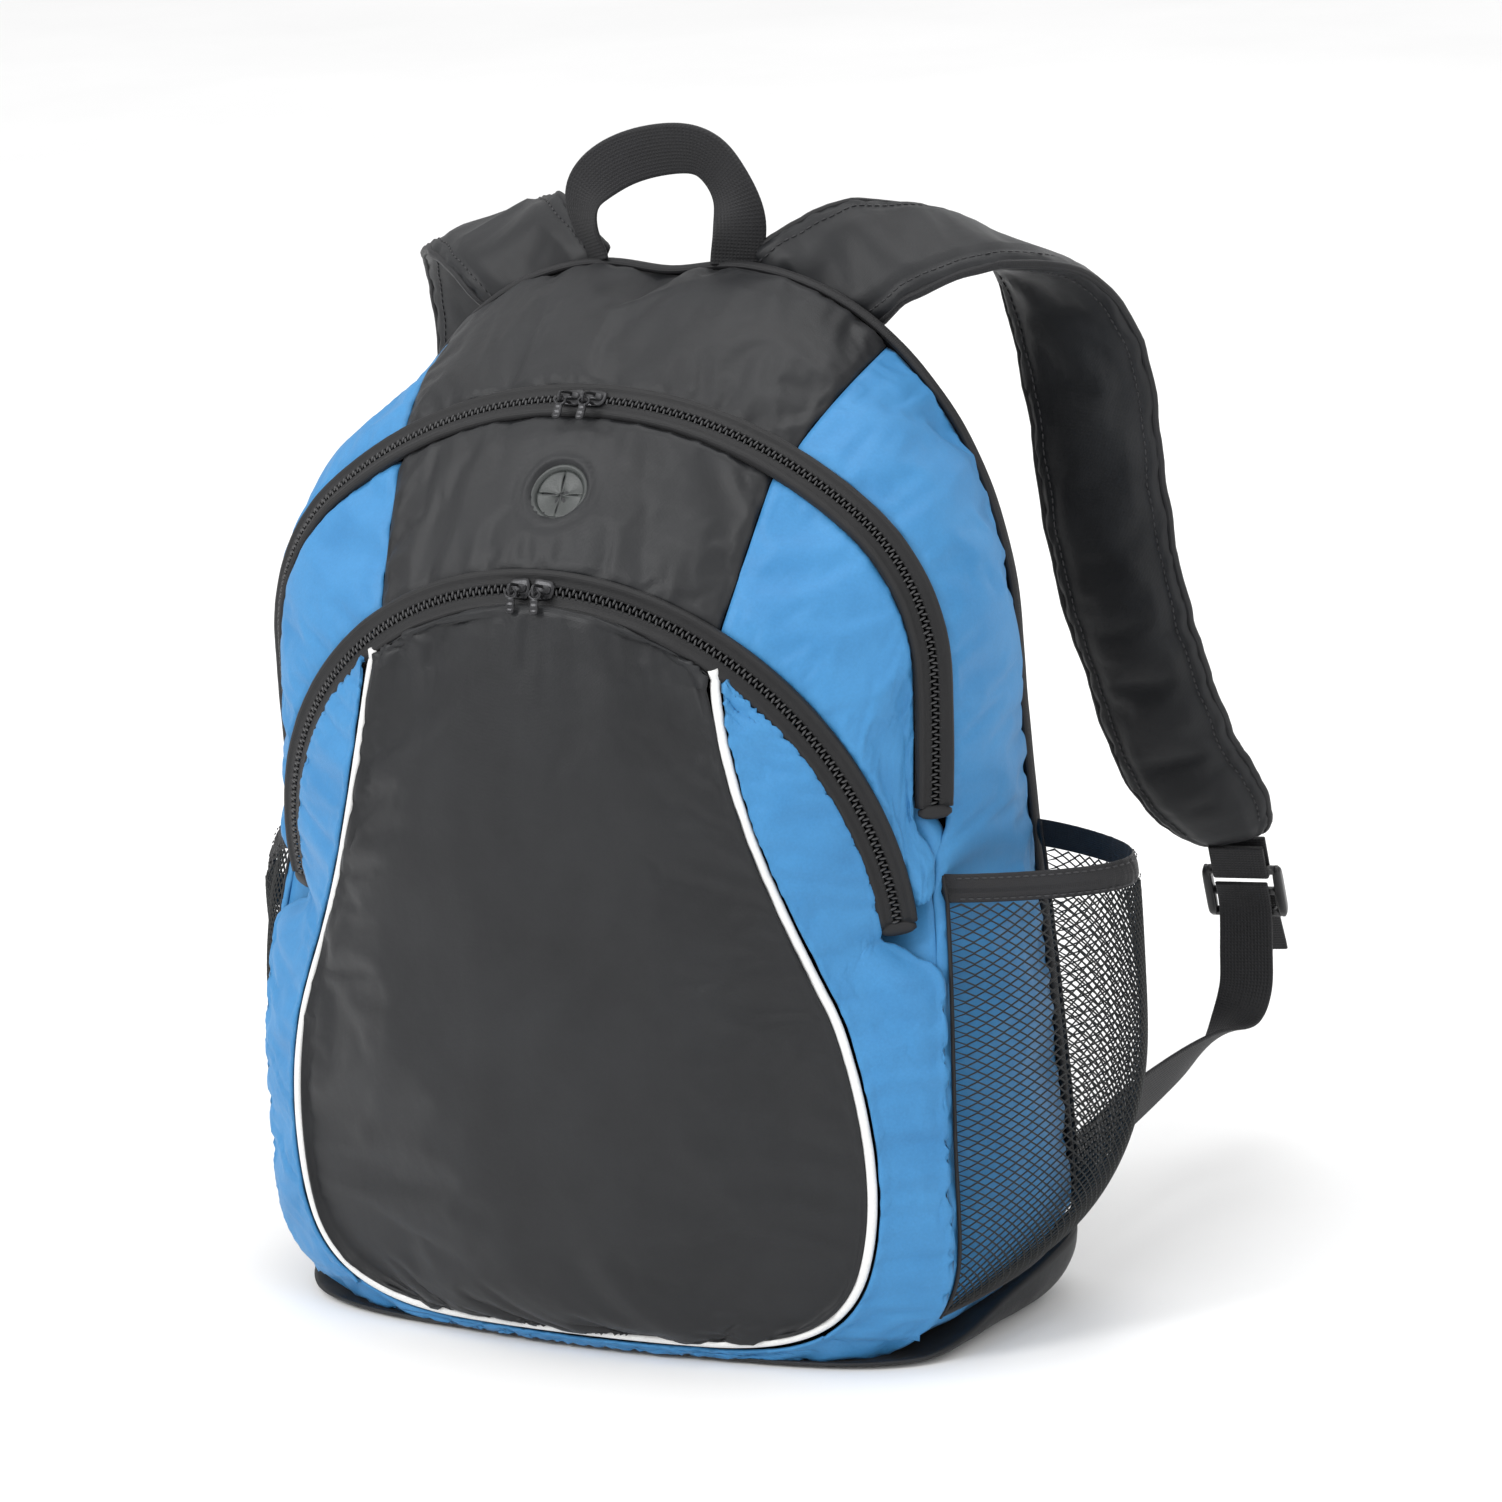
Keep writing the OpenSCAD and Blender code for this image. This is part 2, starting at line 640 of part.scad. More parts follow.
// ---- Headphone port -------------------------------------------------------------
ring_proud = 2.2;
module headphone_port_ring() {
    color(rubber) port_axis() rotate_extrude()
        difference() {
            translate([membrane_d / 2 + 0.2, 1.2]) square([port_d / 2 - membrane_d / 2 - 0.2, ring_proud]);
            translate([port_d / 2, 1.2 + ring_proud]) circle(1.2, $fn = 24);
        }
}
slit_w = 0.8;
module port_membrane() {
    color(rubber) port_axis() difference() {
        translate([0, 0, 1.2]) cylinder(r = membrane_d / 2, h = 1.2);
        for (a = [0, 90]) rotate(a) translate([0, 0, 1.8])
            cube([membrane_d * 0.72, slit_w, 4], center = true);
    }
}
module port_backing_washer() {
    color(rubber) port_axis() translate([0, 0, -4.6]) difference() {
        cylinder(r = port_d / 2 - 1, h = 1.2);
        translate([0, 0, -1]) cylinder(r = membrane_d / 2, h = 4);
    }
}

// ---- Bottle pockets ------------------------------------------------------------
function mesh_low(w) = lerp(22, 38, w);
function back_x(z) = back_corner[0] - 11 * pow(max(z - back_corner[1], 0) / 194, 1.5);
// w runs from the front seam to the back seam, z is the height.
function mesh_point(w, z, bulge) =
    let (
        low = mesh_low(w), h = clamp01((z - low) / 150),
        filled = bulge > mesh_bulge_left,
        fullness = filled ? 1 - pow(1 - h, 3.2) : pow(h, 1.5),
        swell = bulge * fullness * pow(sin(180 * w), 0.75)
    )
    [lerp(seam_x(z) + 2.8, back_x(z) + 3.5, w) + swell + gusset_bulge * sin(180 * w),
        lerp(seam_y(z) + 4, 66, w), z];
function mesh_grid(top, droop, bulge) = [
    for (h = steps(10)) [
        for (w = steps(14))
            let (up = top - droop * pow(sin(180 * w), 2))
            mesh_point(w, lerp(mesh_low(w), up, h), bulge)
    ]
];
mesh_top = 193;
left_droop = 36;
module mesh_pocket(bulge, droop) {
    color(black) cloth(mesh_grid(mesh_top, droop, bulge), -mesh_t);
}
function band_grid(droop, bulge) = [
    for (h = steps(2)) [
        for (w = steps(14))
            let (low = mesh_top + 0.6 - droop * pow(sin(180 * w), 2))
            mesh_point(w, low, bulge) + [0, 0, h * band_h]
    ]
];
module pocket_band(bulge, droop) {
    color(black) cloth(band_grid(droop, bulge), -panel_t);
}

// ---- Handle, straps and hardware --------------------------------------------------
handle_route = [
    [-38, 74, 441.5], [-42, 74, 453], [-43, 75, 467], [-25, 78, 480.7], [0, 78, 485.8],
    [14, 78, 484.6], [23, 78, 477.4], [31, 75, 465], [32.5, 74, 453.4], [30.5, 74, 441.5]
];
handle_t = 2.4;
handle_w = 23;
module handle_webbing() {
    route = spline(handle_route, 3);
    last = len(route) - 1;
    sides = [
        for (i = [0:last])
            let (k = 2 * i / last - 1, rise = cos(90 * pow(abs(k), 0.8)))
            unit([sign(k) * 0.8 * (1 - rise), 0.6 * (1 - rise) - 0.2 * rise, rise])
    ];
    color(black) band(route, sides, handle_w, handle_t);
}

module strap_yoke() {
    color(black) translate([0, back_y + 3, 0]) rotate([90, 0, 0]) linear_extrude(3)
        polygon([[-100, 398], [-108, 376], [108, 376], [100, 398]]);
}

pad_route = [
    [64, 82, 428], [90, 95, 441], [116, 124, 440], [135, 152, 421], [145, 168, 381],
    [150, 171, 325], [154, 178, 277], [159, 190, 238], [165, 205, 197], [176, 216, 172],
    [181.4, 226.6, 153]
];
pad_sides = [
    [0.82, 0, -0.57], [0.86, -0.2, -0.47], [0.86, -0.35, -0.3], [0.92, -0.22, -0.12], [0.96, 0.06, 0],
    [0.98, 0.06, 0], [0.99, 0.04, 0], [0.99, 0.05, 0], [0.98, 0.1, 0], [0.98, 0.14, 0],
    [0.98, 0.17, 0]
];
pad_taper = 0.5;
module strap_pad() {
    per = 4;
    color(black) band(spline(pad_route, per), spline(pad_sides, per), pad_w, pad_t, 0.35, pad_taper);
}

// The ladder lock hangs below the pad in its own plane.
lock_at = [180, 241, 125];
lock_turn = [28, 0, 10];
lock_size = [36, 5, 30];
lock_bar_r = 1.9;
module at_lock() { translate(lock_at) rotate(lock_turn) children(); }
module ladder_lock() {
    color(rubber) at_lock() union() {
        for (s = [-1, 1]) translate([s * (lock_size[0] / 2 - 2), 0, 0])
            cube([4, lock_size[1], lock_size[2]], center = true);
        for (k = [-1, 0, 1])
            translate([0, 0, k * (lock_size[2] / 2 - lock_bar_r)]) rotate([0, 90, 0])
                cylinder(r = lock_bar_r, h = lock_size[0] - 4, center = true);
    }
}
// Folded webbing from the pad's end round the lock's top bar.
loop_clear = 0.4;
module buckle_loop() {
    r_in = lock_bar_r + loop_clear;
    color(black) at_lock() translate([0, 0, lock_size[2] / 2 - lock_bar_r])
        rotate([90, 0, 90]) linear_extrude(webbing_w, center = true) difference() {
            union() {
                circle(r_in + webbing_t, $fn = 32);
                translate([-r_in - webbing_t, 0]) square([2 * (r_in + webbing_t), 14]);
            }
            circle(r_in, $fn = 32);
            translate([-r_in, 0]) square([2 * r_in, 9]);
        }
}
// The free end, turned down behind the lock.
tail_l = 38;
module webbing_tail() {
    color(black) at_lock() translate([0, lock_size[1] / 2 + 1.4, -tail_l / 2 - 4])
        cube([webbing_w, webbing_t, tail_l], center = true);
}

lower_route = [
    [181.3, 233.6, 130.6], [180.2, 240, 117], [180, 239.5, 98], [180.5, 235, 80], [178, 224, 68],
    [171, 202, 61], [165, 172, 56], [162, 140, 53], [160, 108, 49], [160, 80, 46]
];
lower_sides = [
    [0.985, 0.17, 0], [0.985, 0.17, 0], [0.97, 0.24, 0], [0.96, 0.27, 0.05], [0.9, 0.3, 0.3],
    [0.6, 0.2, 0.75], [0.35, 0.1, 0.93], [0.2, 0, 0.98], [0.15, 0, 0.99], [0.1, 0, 1]
];
module lower_webbing() {
    per = 4;
    color(black) band(spline(lower_route, per), spline(lower_sides, per), webbing_w - 1, webbing_t);
}
module anchor_tab() {
    color(black) translate([0, back_y + 4.6, 0]) rotate([90, 0, 0]) linear_extrude(4)
        polygon([[124, 40], [146, 35], [165, 34], [165, 57], [152, 64], [124, 70]]);
}
module bar_tacks() {
    color(black) for (s = [-1, 1], z = [381, 393])
        translate([s * 60, back_y + 3.7, z]) cube([30, 1.1, 3], center = true);
}
module mirrored() { mirror([1, 0, 0]) children(); }

back_panel();
back_padding();
top_panel();
mirrored() side_panel();  // side_panel_left
side_panel();  // side_panel_right
base_panel();
main_front_center();
mirrored() main_front_side();  // main_front_left
main_front_side();  // main_front_right
main_zip_tape_rear();
main_zip_tape_front();
main_zip_coil();
pocket_zip_tape_upper();
pocket_zip_tape_lower();
pocket_zip_coil();
zip_end_stops();
pocket_back_wall();
pocket_center();
mirrored() pocket_side();  // pocket_side_left
pocket_side();  // pocket_side_right
pocket_bottom_band();
white_piping();
headphone_port_ring();
port_membrane();
port_backing_washer();
mirrored() mesh_pocket(mesh_bulge_left, left_droop);  // mesh_pocket_left
mesh_pocket(mesh_bulge_right, 0);  // mesh_pocket_right
mirrored() pocket_band(mesh_bulge_left, left_droop);  // pocket_band_left
pocket_band(mesh_bulge_right, 0);  // pocket_band_right
strap_yoke();
mirrored() anchor_tab();  // anchor_tab_left
anchor_tab();  // anchor_tab_right
bar_tacks();
handle_webbing();
mirrored() strap_pad();  // strap_pad_left
strap_pad();  // strap_pad_right
mirrored() buckle_loop();  // buckle_loop_left
buckle_loop();  // buckle_loop_right
mirrored() ladder_lock();  // ladder_lock_left
ladder_lock();  // ladder_lock_right
mirrored() webbing_tail();  // webbing_tail_left
webbing_tail();  // webbing_tail_right
mirrored() lower_webbing();  // lower_webbing_left
lower_webbing();  // lower_webbing_right
mirrored() main_slider();  // main_slider_left
main_slider();  // main_slider_right
mirrored() main_pull();  // main_pull_left
main_pull();  // main_pull_right
mirrored() pocket_slider();  // pocket_slider_left
pocket_slider();  // pocket_slider_right
mirrored() pocket_pull();  // pocket_pull_left
pocket_pull();  // pocket_pull_right
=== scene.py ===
"""Daypack: fabric panels, zips, piping, port, mesh pockets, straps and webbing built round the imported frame.

Lengths in the guide curves are millimetres, as in the CAD; MM turns them into metres where a mesh is made.
"""

import math

import bmesh
import bpy
import numpy as np
from mathutils import Matrix, Vector, noise


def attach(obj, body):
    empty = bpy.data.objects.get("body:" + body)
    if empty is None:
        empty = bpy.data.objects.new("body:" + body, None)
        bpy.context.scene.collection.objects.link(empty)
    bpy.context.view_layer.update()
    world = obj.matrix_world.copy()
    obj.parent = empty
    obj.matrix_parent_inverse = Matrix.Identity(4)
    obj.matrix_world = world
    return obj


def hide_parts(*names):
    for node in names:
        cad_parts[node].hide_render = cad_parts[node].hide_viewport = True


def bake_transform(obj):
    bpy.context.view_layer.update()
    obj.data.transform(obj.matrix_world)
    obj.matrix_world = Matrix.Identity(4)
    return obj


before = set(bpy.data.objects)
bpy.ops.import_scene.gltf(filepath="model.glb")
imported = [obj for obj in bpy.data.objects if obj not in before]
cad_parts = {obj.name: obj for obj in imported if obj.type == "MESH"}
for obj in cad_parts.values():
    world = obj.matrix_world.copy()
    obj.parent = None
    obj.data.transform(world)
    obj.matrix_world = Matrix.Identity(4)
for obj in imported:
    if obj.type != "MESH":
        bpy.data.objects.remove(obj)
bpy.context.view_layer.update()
MM = 0.001
SIDES = (("right", 1.0), ("left", -1.0))


# ---- Small helpers -------------------------------------------------------------------------
def vec(*p):
    return np.array(p, float)


def lerp(a, b, t):
    return a + (b - a) * t


def clamp01(t):
    return np.clip(t, 0.0, 1.0)


def smooth(lo, hi, v):
    t = clamp01((v - lo) / (hi - lo))
    return t * t * (3 - 2 * t)


def bezier(p, t):
    s = 1 - t
    p = [np.array(q, float) for q in p]
    return p[0] * s**3 + p[1] * 3 * s * s * t + p[2] * 3 * s * t * t + p[3] * t**3


def unit(v):
    return v / np.maximum(np.linalg.norm(v, axis=-1, keepdims=True), 1e-9)


def spline(points, per):
    """Catmull-Rom curve through the points, per steps on each stretch."""
    p = np.array(points, float)
    n = len(p) - 1
    out = []
    for k in range(n):
        a, b, c, d = p[max(k - 1, 0)], p[k], p[min(k + 1, n)], p[min(k + 2, n)]
        for i in range(per):
            t = i / per
            out.append(0.5 * (2 * b + (c - a) * t + (2 * a - 5 * b + 4 * c - d) * t * t
                              + (3 * b - a - 3 * c + d) * t**3))
    out.append(p[n])
    return np.array(out)


def circle(count):
    """Evenly spaced angles once round, without the closing one."""
    return np.linspace(0, 2 * math.pi, count, endpoint=False)


def noise_at(x, y, z):
    """Perlin noise for whole arrays of coordinates."""
    x, y, z = np.broadcast_arrays(x, y, z)
    flat = [noise.noise((a, b, c)) for a, b, c in zip(x.ravel(), y.ravel(), z.ravel())]
    return np.array(flat).reshape(x.shape)


# ---- Guide curves, as in the CAD -----------------------------------------------------------
ARCH_ORIGIN = vec(0, -24, 195)
ARCH_V0 = 5
ARCH_R = 200
SHOULDER_R = 87
SIDE_R = 860
ARCH_HALF = math.radians(39)
ARCH_LEAN = math.radians(2.5)
SHOULDER_C = (
    (ARCH_R - SHOULDER_R) * math.sin(ARCH_HALF),
    ARCH_V0 + (ARCH_R - SHOULDER_R) * math.cos(ARCH_HALF),
)
TOP_LEN = ARCH_R * ARCH_HALF
SHOULDER_LEN = SHOULDER_R * (math.pi / 2 - ARCH_HALF)
ARCH_LEN = TOP_LEN + SHOULDER_LEN + SIDE_R * math.asin(SHOULDER_C[1] / SIDE_R)
ZIP_END_S = TOP_LEN + SHOULDER_LEN + SIDE_R * math.radians(3.6)
SPLIT_S = ARCH_R * math.asin(92 / ARCH_R)


def arch_point(s, out, back):
    """s along the main zip from its top centre, out away from the arch, back towards the wearer."""
    side = math.copysign(1, s)
    s = abs(s)
    if s < TOP_LEN:
        cx, cv, r, a = 0, ARCH_V0, ARCH_R, s / ARCH_R
    elif s < TOP_LEN + SHOULDER_LEN:
        cx, cv, r = SHOULDER_C[0], SHOULDER_C[1], SHOULDER_R
        a = ARCH_HALF + (s - TOP_LEN) / SHOULDER_R
    else:
        cx, cv, r = SHOULDER_C[0] + SHOULDER_R - SIDE_R, SHOULDER_C[1], SIDE_R
        a = math.pi / 2 + (s - TOP_LEN - SHOULDER_LEN) / SIDE_R
    x = cx + (r + out) * math.sin(a)
    v = cv + (r + out) * math.cos(a)
    cl, sl = math.cos(ARCH_LEAN), math.sin(ARCH_LEAN)
    return ARCH_ORIGIN + vec(side * x, v * sl + back * cl, v * cl - back * sl)


POCKET_ORIGIN = vec(0, -36, 191)
POCKET_R = 140
POCKET_LEAN = math.radians(12.4)


def pocket_point(degrees, out, back):
    a = math.radians(degrees)
    v = (POCKET_R + out) * math.cos(a)
    cl, sl = math.cos(POCKET_LEAN), math.sin(POCKET_LEAN)
    return POCKET_ORIGIN + vec((POCKET_R + out) * math.sin(a), -v * sl + back * cl, v * cl + back * sl)


BODY_HALF = 160
SEAM_TOP = 195
SEAM_LOW = 4.5


def seam_x(z):
    if z > 100:
        return BODY_HALF - 7 * ((z - 100) / 95) ** 2
    return BODY_HALF - 34 * ((100 - z) / 96) ** 6


def seam_y(z):
    return -24 - 20 * math.sin(math.pi / 2 * float(clamp01((SEAM_TOP - z) / 110)))


BACK_TOP = 440
BACK_Y = 72
BACK_SPLIT = (102, BACK_TOP - 33)
BACK_SHOULDER = (152, 290)
BACK_CORNER = (166, 33)
SAG_DEPTH = 5.5
SAG_WIDTH = 24
BACK_TOP_CURVE = ((0, BACK_TOP), (50, BACK_TOP), (80, BACK_TOP - 12), BACK_SPLIT)
BACK_ROUND_CURVE = (BACK_SPLIT, (128, 383), (150, 345), BACK_SHOULDER)
BACK_SIDE_CURVE = (BACK_SHOULDER, (153, 210), (163, 110), BACK_CORNER)


def back_side_point(t, y):
    share = 0.34
    if t < share:
        p = bezier(BACK_ROUND_CURVE, t / share)
    else:
        p = bezier(BACK_SIDE_CURVE, (t - share) / (1 - share))
    return vec(p[0], y, p[1])


def zip_open(s):
    return 1 - float(smooth(ZIP_END_S + 4, ZIP_END_S + 22, abs(s)))


def rear_edge_point(s):
    return arch_point(s, lerp(0.1, 1, zip_open(s)), lerp(0.1, 9, zip_open(s)))


def front_edge_point(s):
    return arch_point(s, lerp(-0.1, -9, zip_open(s)), -3 * zip_open(s))


def side_front_point(t):
    share = 0.54
    if t < share:
        return rear_edge_point(lerp(SPLIT_S + 0.3, ARCH_LEN, t / share))
    z = lerp(SEAM_TOP, SEAM_LOW, (t - share) / (1 - share))
    return vec(seam_x(z) + 0.1, seam_y(z) + 0.1, z)


# ---- Front pocket's face -------------------------------------------------------------------
EDGE_OUT = -5.7
FACE_LOW_Z = 4
FACE_LOW_Y = 69
POCKET_FRONT = 88


def face_half(z):
    v = (z - POCKET_ORIGIN[2] + 1) / math.cos(POCKET_LEAN)
    r = POCKET_R + EDGE_OUT - 1
    if z > 183:
        return math.sqrt(max(r * r - v * v, 1))
    return lerp(seam_x(z) - 0.1, r, float(smooth(164, 183, z)))


def face_edge_y(z):
    return lerp(seam_y(z), -40.9 - 0.22 * (z - 190), float(smooth(164, 183, z)))


def face_middle_y(z):
    if z > 105:
        return -POCKET_FRONT + (POCKET_FRONT - 70.3) * ((z - 105) / (323.7 - 105)) ** 2
    return -POCKET_FRONT + (POCKET_FRONT - FACE_LOW_Y) * ((105 - z) / (105 - FACE_LOW_Z)) ** 5


def face_depth(x, z):
    k = min(abs(x) / face_half(z), 1)
    return lerp(face_edge_y(z), face_middle_y(z), (1 - k**2.4) ** 0.75)


def face_point(x, z):
    """The face's depth, evened out above and below the zip's ends so that no crease crosses it."""
    k = min(abs(x) / face_half(z), 1)
    even = float((1 - smooth(0.82, 1, k)) * smooth(110, 140, z) * (1 - smooth(225, 255, z)))
    y = face_depth(x, z)
    if even > 0:
        y = lerp(y, np.mean([face_depth(x, z + d) for d in (-30, -20, -10, 0, 10, 20, 30)]), even)
    return vec(x, y, z)


PEAR_WAIST = ((79, 300), (84, 255), (100, 205), (119, 163))
PEAR_HIP = ((119, 163), (134, 132), (142, 80), (130, 45))
PEAR_FOOT = ((130, 45), (121, 21), (98, 10.5), (60, 10.5))


def pear_outline(t):
    if t < 0.4:
        return bezier(PEAR_WAIST, t / 0.4)
    if t < 0.72:
        return bezier(PEAR_HIP, (t - 0.4) / 0.32)
    if t < 0.9:
        return bezier(PEAR_FOOT, (t - 0.72) / 0.18)
    return vec(60 * (1 - t) / 0.1, 10.5)


def pear_offset(t, d):
    m = max(0.01, min(t, 0.98))
    run = unit(pear_outline(m + 0.01) - pear_outline(m - 0.01))
    return pear_outline(t) + vec(-run[1], run[0]) * d


def face_outline(t):
    if t < 0.4:
        p = pocket_point(lerp(35.2, 88.6, t / 0.4), EDGE_OUT - 1, -5)
        return vec(p[0], p[2])
    if t < 0.72:
        z = lerp(189.5, 45, (t - 0.4) / 0.32)
        return vec(face_half(z), z)
    if t < 0.84:
        z = lerp(45, FACE_LOW_Z, ((t - 0.72) / 0.12) ** 0.7)
        return vec(face_half(z), z)
    return vec(128 * (1 - t) / 0.16, FACE_LOW_Z)


# ---- Fabric grids --------------------------------------------------------------------------
def grid_normals(g):
    return unit(np.cross(np.gradient(g, axis=1), np.gradient(g, axis=0)))


def arc_lengths(g):
    """Distances along each row and down each column, from the first point."""
    across = np.linalg.norm(np.diff(g, axis=1), axis=2)
    down = np.linalg.norm(np.diff(g, axis=0), axis=2)
    u = np.hstack([np.zeros((len(g), 1)), np.cumsum(across, axis=1)])
    w = np.vstack([np.zeros((1, g.shape[1])), np.cumsum(down, axis=0)])
    return u, w


def loft(edge_a, edge_b, rows, bulge):
    a, b = np.array(edge_a), np.array(edge_b)
    w = np.linspace(0, 1, rows)[:, None, None]
    flat = lerp(a[None], b[None], w)
    height = np.asarray(bulge)[..., None] if np.ndim(bulge) else bulge
    return flat + grid_normals(flat) * height * np.sin(math.pi * w)


def dress(g, seed, seams, soft=1.3, valley=1.5):
    """Seam valleys, puckers that fade away from each seam, and broad soft folds."""
    u, w = arc_lengths(g)
    reach = {"l": (u, w), "r": (u[:, -1:] - u, w), "t": (w, u), "b": (w[-1:] - w, u)}
    h = np.zeros(u.shape)
    for side, (amount, length) in seams.items():
        away, along = reach[side]
        ripple = noise_at(along / 11, away / 60, seed) + 0.6 * noise_at(along / 5.5, away / 40, seed + 7)
        h += amount * ripple * np.exp(-away / length) * (1 - np.exp(-away / 2.5))
        h -= valley * np.exp(-((away / 2.6) ** 2))
    h += 1.3 * noise_at(g[..., 0] / 62, g[..., 1] / 62, g[..., 2] / 70)
    rim = 1 - np.exp(-np.minimum(np.minimum(u, u[:, -1:] - u), np.minimum(w, w[-1:] - w)) / 8)
    h += soft * rim * noise_at(g[..., 0] / 40, g[..., 1] / 40, g[..., 2] / 48 + seed)
    h += 0.35 * soft * rim * noise_at(g[..., 0] / 17, g[..., 1] / 17, g[..., 2] / 22 + seed)
    return g + grid_normals(g) * h[..., None]


def dent(g, at, depth, size, run=(0, 0, 1)):
    """A dimple, or a ridge where depth is negative, drawn out along run."""
    away = g - vec(*at)
    run = unit(vec(*run))
    along = away @ run
    beside = np.linalg.norm(away - along[..., None] * run, axis=2)
    h = depth * np.exp(-((along / size[0]) ** 2) - (beside / size[1]) ** 2)
    return g - grid_normals(g) * h[..., None]


# ---- Materials -----------------------------------------------------------------------------
def new_material(name):
    m = bpy.data.materials.new(name)
    m.use_nodes = True
    t = m.node_tree
    return m, t, t.nodes["Principled BSDF"]


def link(t, a, b):
    t.links.new(a, b)


def node(t, kind, **settings):
    n = t.nodes.new(kind)
    for k, v in settings.items():
        if hasattr(n, k):
            setattr(n, k, v)
        else:
            n.inputs[k.replace("_", " ")].default_value = v
    return n


def ramp(t, source, stops):
    r = t.nodes.new("ShaderNodeValToRGB")
    r.color_ramp.elements[0].position, r.color_ramp.elements[1].position = stops[0][0], stops[-1][0]
    r.color_ramp.elements[0].color = (*stops[0][1], 1)
    r.color_ramp.elements[1].color = (*stops[-1][1], 1)
    for position, colour in stops[1:-1]:
        r.color_ramp.elements.new(position).color = (*colour, 1)
    link(t, source, r.inputs["Fac"])
    return r


def cloth_material(name, dark, light, pitch, rough, weave=0.25, sheen=0.04, grain=0.35):
    """Woven fabric: crossed threads from the UVs, mottled colour and broken sheen. pitch is a thread in mm."""
    m, t, b = new_material(name)
    uv = node(t, "ShaderNodeTexCoord")
    threads = []
    for direction in ("X", "Y"):
        w = node(t, "ShaderNodeTexWave", wave_type="BANDS", bands_direction=direction,
                 Scale=31.4 / (10 * pitch) * 10, Distortion=0.6, Detail=1.0, Detail_Scale=2.0)
        link(t, uv.outputs["UV"], w.inputs["Vector"])
        threads.append(w)
    weave_mix = node(t, "ShaderNodeMath", operation="MAXIMUM")
    link(t, threads[0].outputs["Fac"], weave_mix.inputs[0])
    link(t, threads[1].outputs["Fac"], weave_mix.inputs[1])
    mottle = node(t, "ShaderNodeTexNoise", Scale=28.0, Detail=5.0, Roughness=0.6)
    link(t, uv.outputs["Object"], mottle.inputs["Vector"])
    fine = node(t, "ShaderNodeTexNoise", Scale=900.0, Detail=2.0, Roughness=0.5)
    link(t, uv.outputs["Object"], fine.inputs["Vector"])
    colour = ramp(t, mottle.outputs["Fac"], ((0.3, dark), (0.7, light)))
    speck = node(t, "ShaderNodeMix", data_type="RGBA", blend_type="MULTIPLY")
    speck.inputs["Factor"].default_value = 0.35
    link(t, colour.outputs["Color"], speck.inputs[6])
    shade = ramp(t, fine.outputs["Fac"], ((0.25, (0.72, 0.72, 0.72)), (0.75, (1.0, 1.0, 1.0))))
    link(t, shade.outputs["Color"], speck.inputs[7])
    link(t, speck.outputs[2], b.inputs["Base Color"])
    gloss = node(t, "ShaderNodeMapRange", To_Min=rough[0], To_Max=rough[1])
    link(t, mottle.outputs["Fac"], gloss.inputs["Value"])
    link(t, gloss.outputs["Result"], b.inputs["Roughness"])
    thread_bump = node(t, "ShaderNodeBump", Strength=weave, Distance=0.0002)
    link(t, weave_mix.outputs["Value"], thread_bump.inputs["Height"])
    grain_bump = node(t, "ShaderNodeBump", Strength=grain, Distance=0.0008)
    crease = node(t, "ShaderNodeTexNoise", Scale=95.0, Detail=4.0, Roughness=0.55)
    link(t, uv.outputs["Object"], crease.inputs["Vector"])
    link(t, crease.outputs["Fac"], grain_bump.inputs["Height"])
    link(t, thread_bump.outputs["Normal"], grain_bump.inputs["Normal"])
    link(t, grain_bump.outputs["Normal"], b.inputs["Normal"])
    b.inputs["Sheen Weight"].default_value = sheen
    b.inputs["Sheen Roughness"].default_value = 0.45
    b.inputs["Specular IOR Level"].default_value = 0.36
    return m


def solid_material(name, dark, light, rough, bump, scale=160.0, metallic=0.0, coat=0.0):
    """Moulded plastic, rubber or painted metal: fine texture, slight colour drift and scuffed gloss."""
    m, t, b = new_material(name)
    uv = node(t, "ShaderNodeTexCoord")
    n = node(t, "ShaderNodeTexNoise", Scale=scale, Detail=6.0, Roughness=0.6)
    link(t, uv.outputs["Object"], n.inputs["Vector"])
    colour = ramp(t, n.outputs["Fac"], ((0.3, dark), (0.7, light)))
    link(t, colour.outputs["Color"], b.inputs["Base Color"])
    gloss = node(t, "ShaderNodeMapRange", To_Min=rough[0], To_Max=rough[1])
    link(t, n.outputs["Fac"], gloss.inputs["Value"])
    link(t, gloss.outputs["Result"], b.inputs["Roughness"])
    bm = node(t, "ShaderNodeBump", Strength=bump, Distance=0.0003)
    fine = node(t, "ShaderNodeTexNoise", Scale=scale * 9, Detail=2.0, Roughness=0.5)
    link(t, uv.outputs["Object"], fine.inputs["Vector"])
    link(t, fine.outputs["Fac"], bm.inputs["Height"])
    link(t, bm.outputs["Normal"], b.inputs["Normal"])
    b.inputs["Metallic"].default_value = metallic
    b.inputs["Coat Weight"].default_value = coat
    return m


BLACK = cloth_material("black_polyester", (0.007, 0.0075, 0.009), (0.012, 0.013, 0.015), 0.55,
                       rough=(0.4, 0.52))
BLUE = cloth_material("blue_polyester", (0.036, 0.20, 0.44), (0.052, 0.245, 0.51), 0.55, rough=(0.45, 0.6))
STRAP = cloth_material("padded_polyester", (0.006, 0.0065, 0.008), (0.011, 0.012, 0.014), 0.6,
                       rough=(0.42, 0.56))
WEBBING = cloth_material("webbing", (0.006, 0.006, 0.007), (0.011, 0.011, 0.013), 1.5, weave=0.9, rough=(0.5, 0.7),
                         grain=0.2)
TAPE = cloth_material("zip_tape", (0.006, 0.006, 0.007), (0.011, 0.011, 0.012), 0.7, weave=0.5, rough=(0.45, 0.65))
MESH_NET = cloth_material("bottle_mesh", (0.009, 0.010, 0.010), (0.018, 0.019, 0.019), 0.4, rough=(0.4, 0.6))
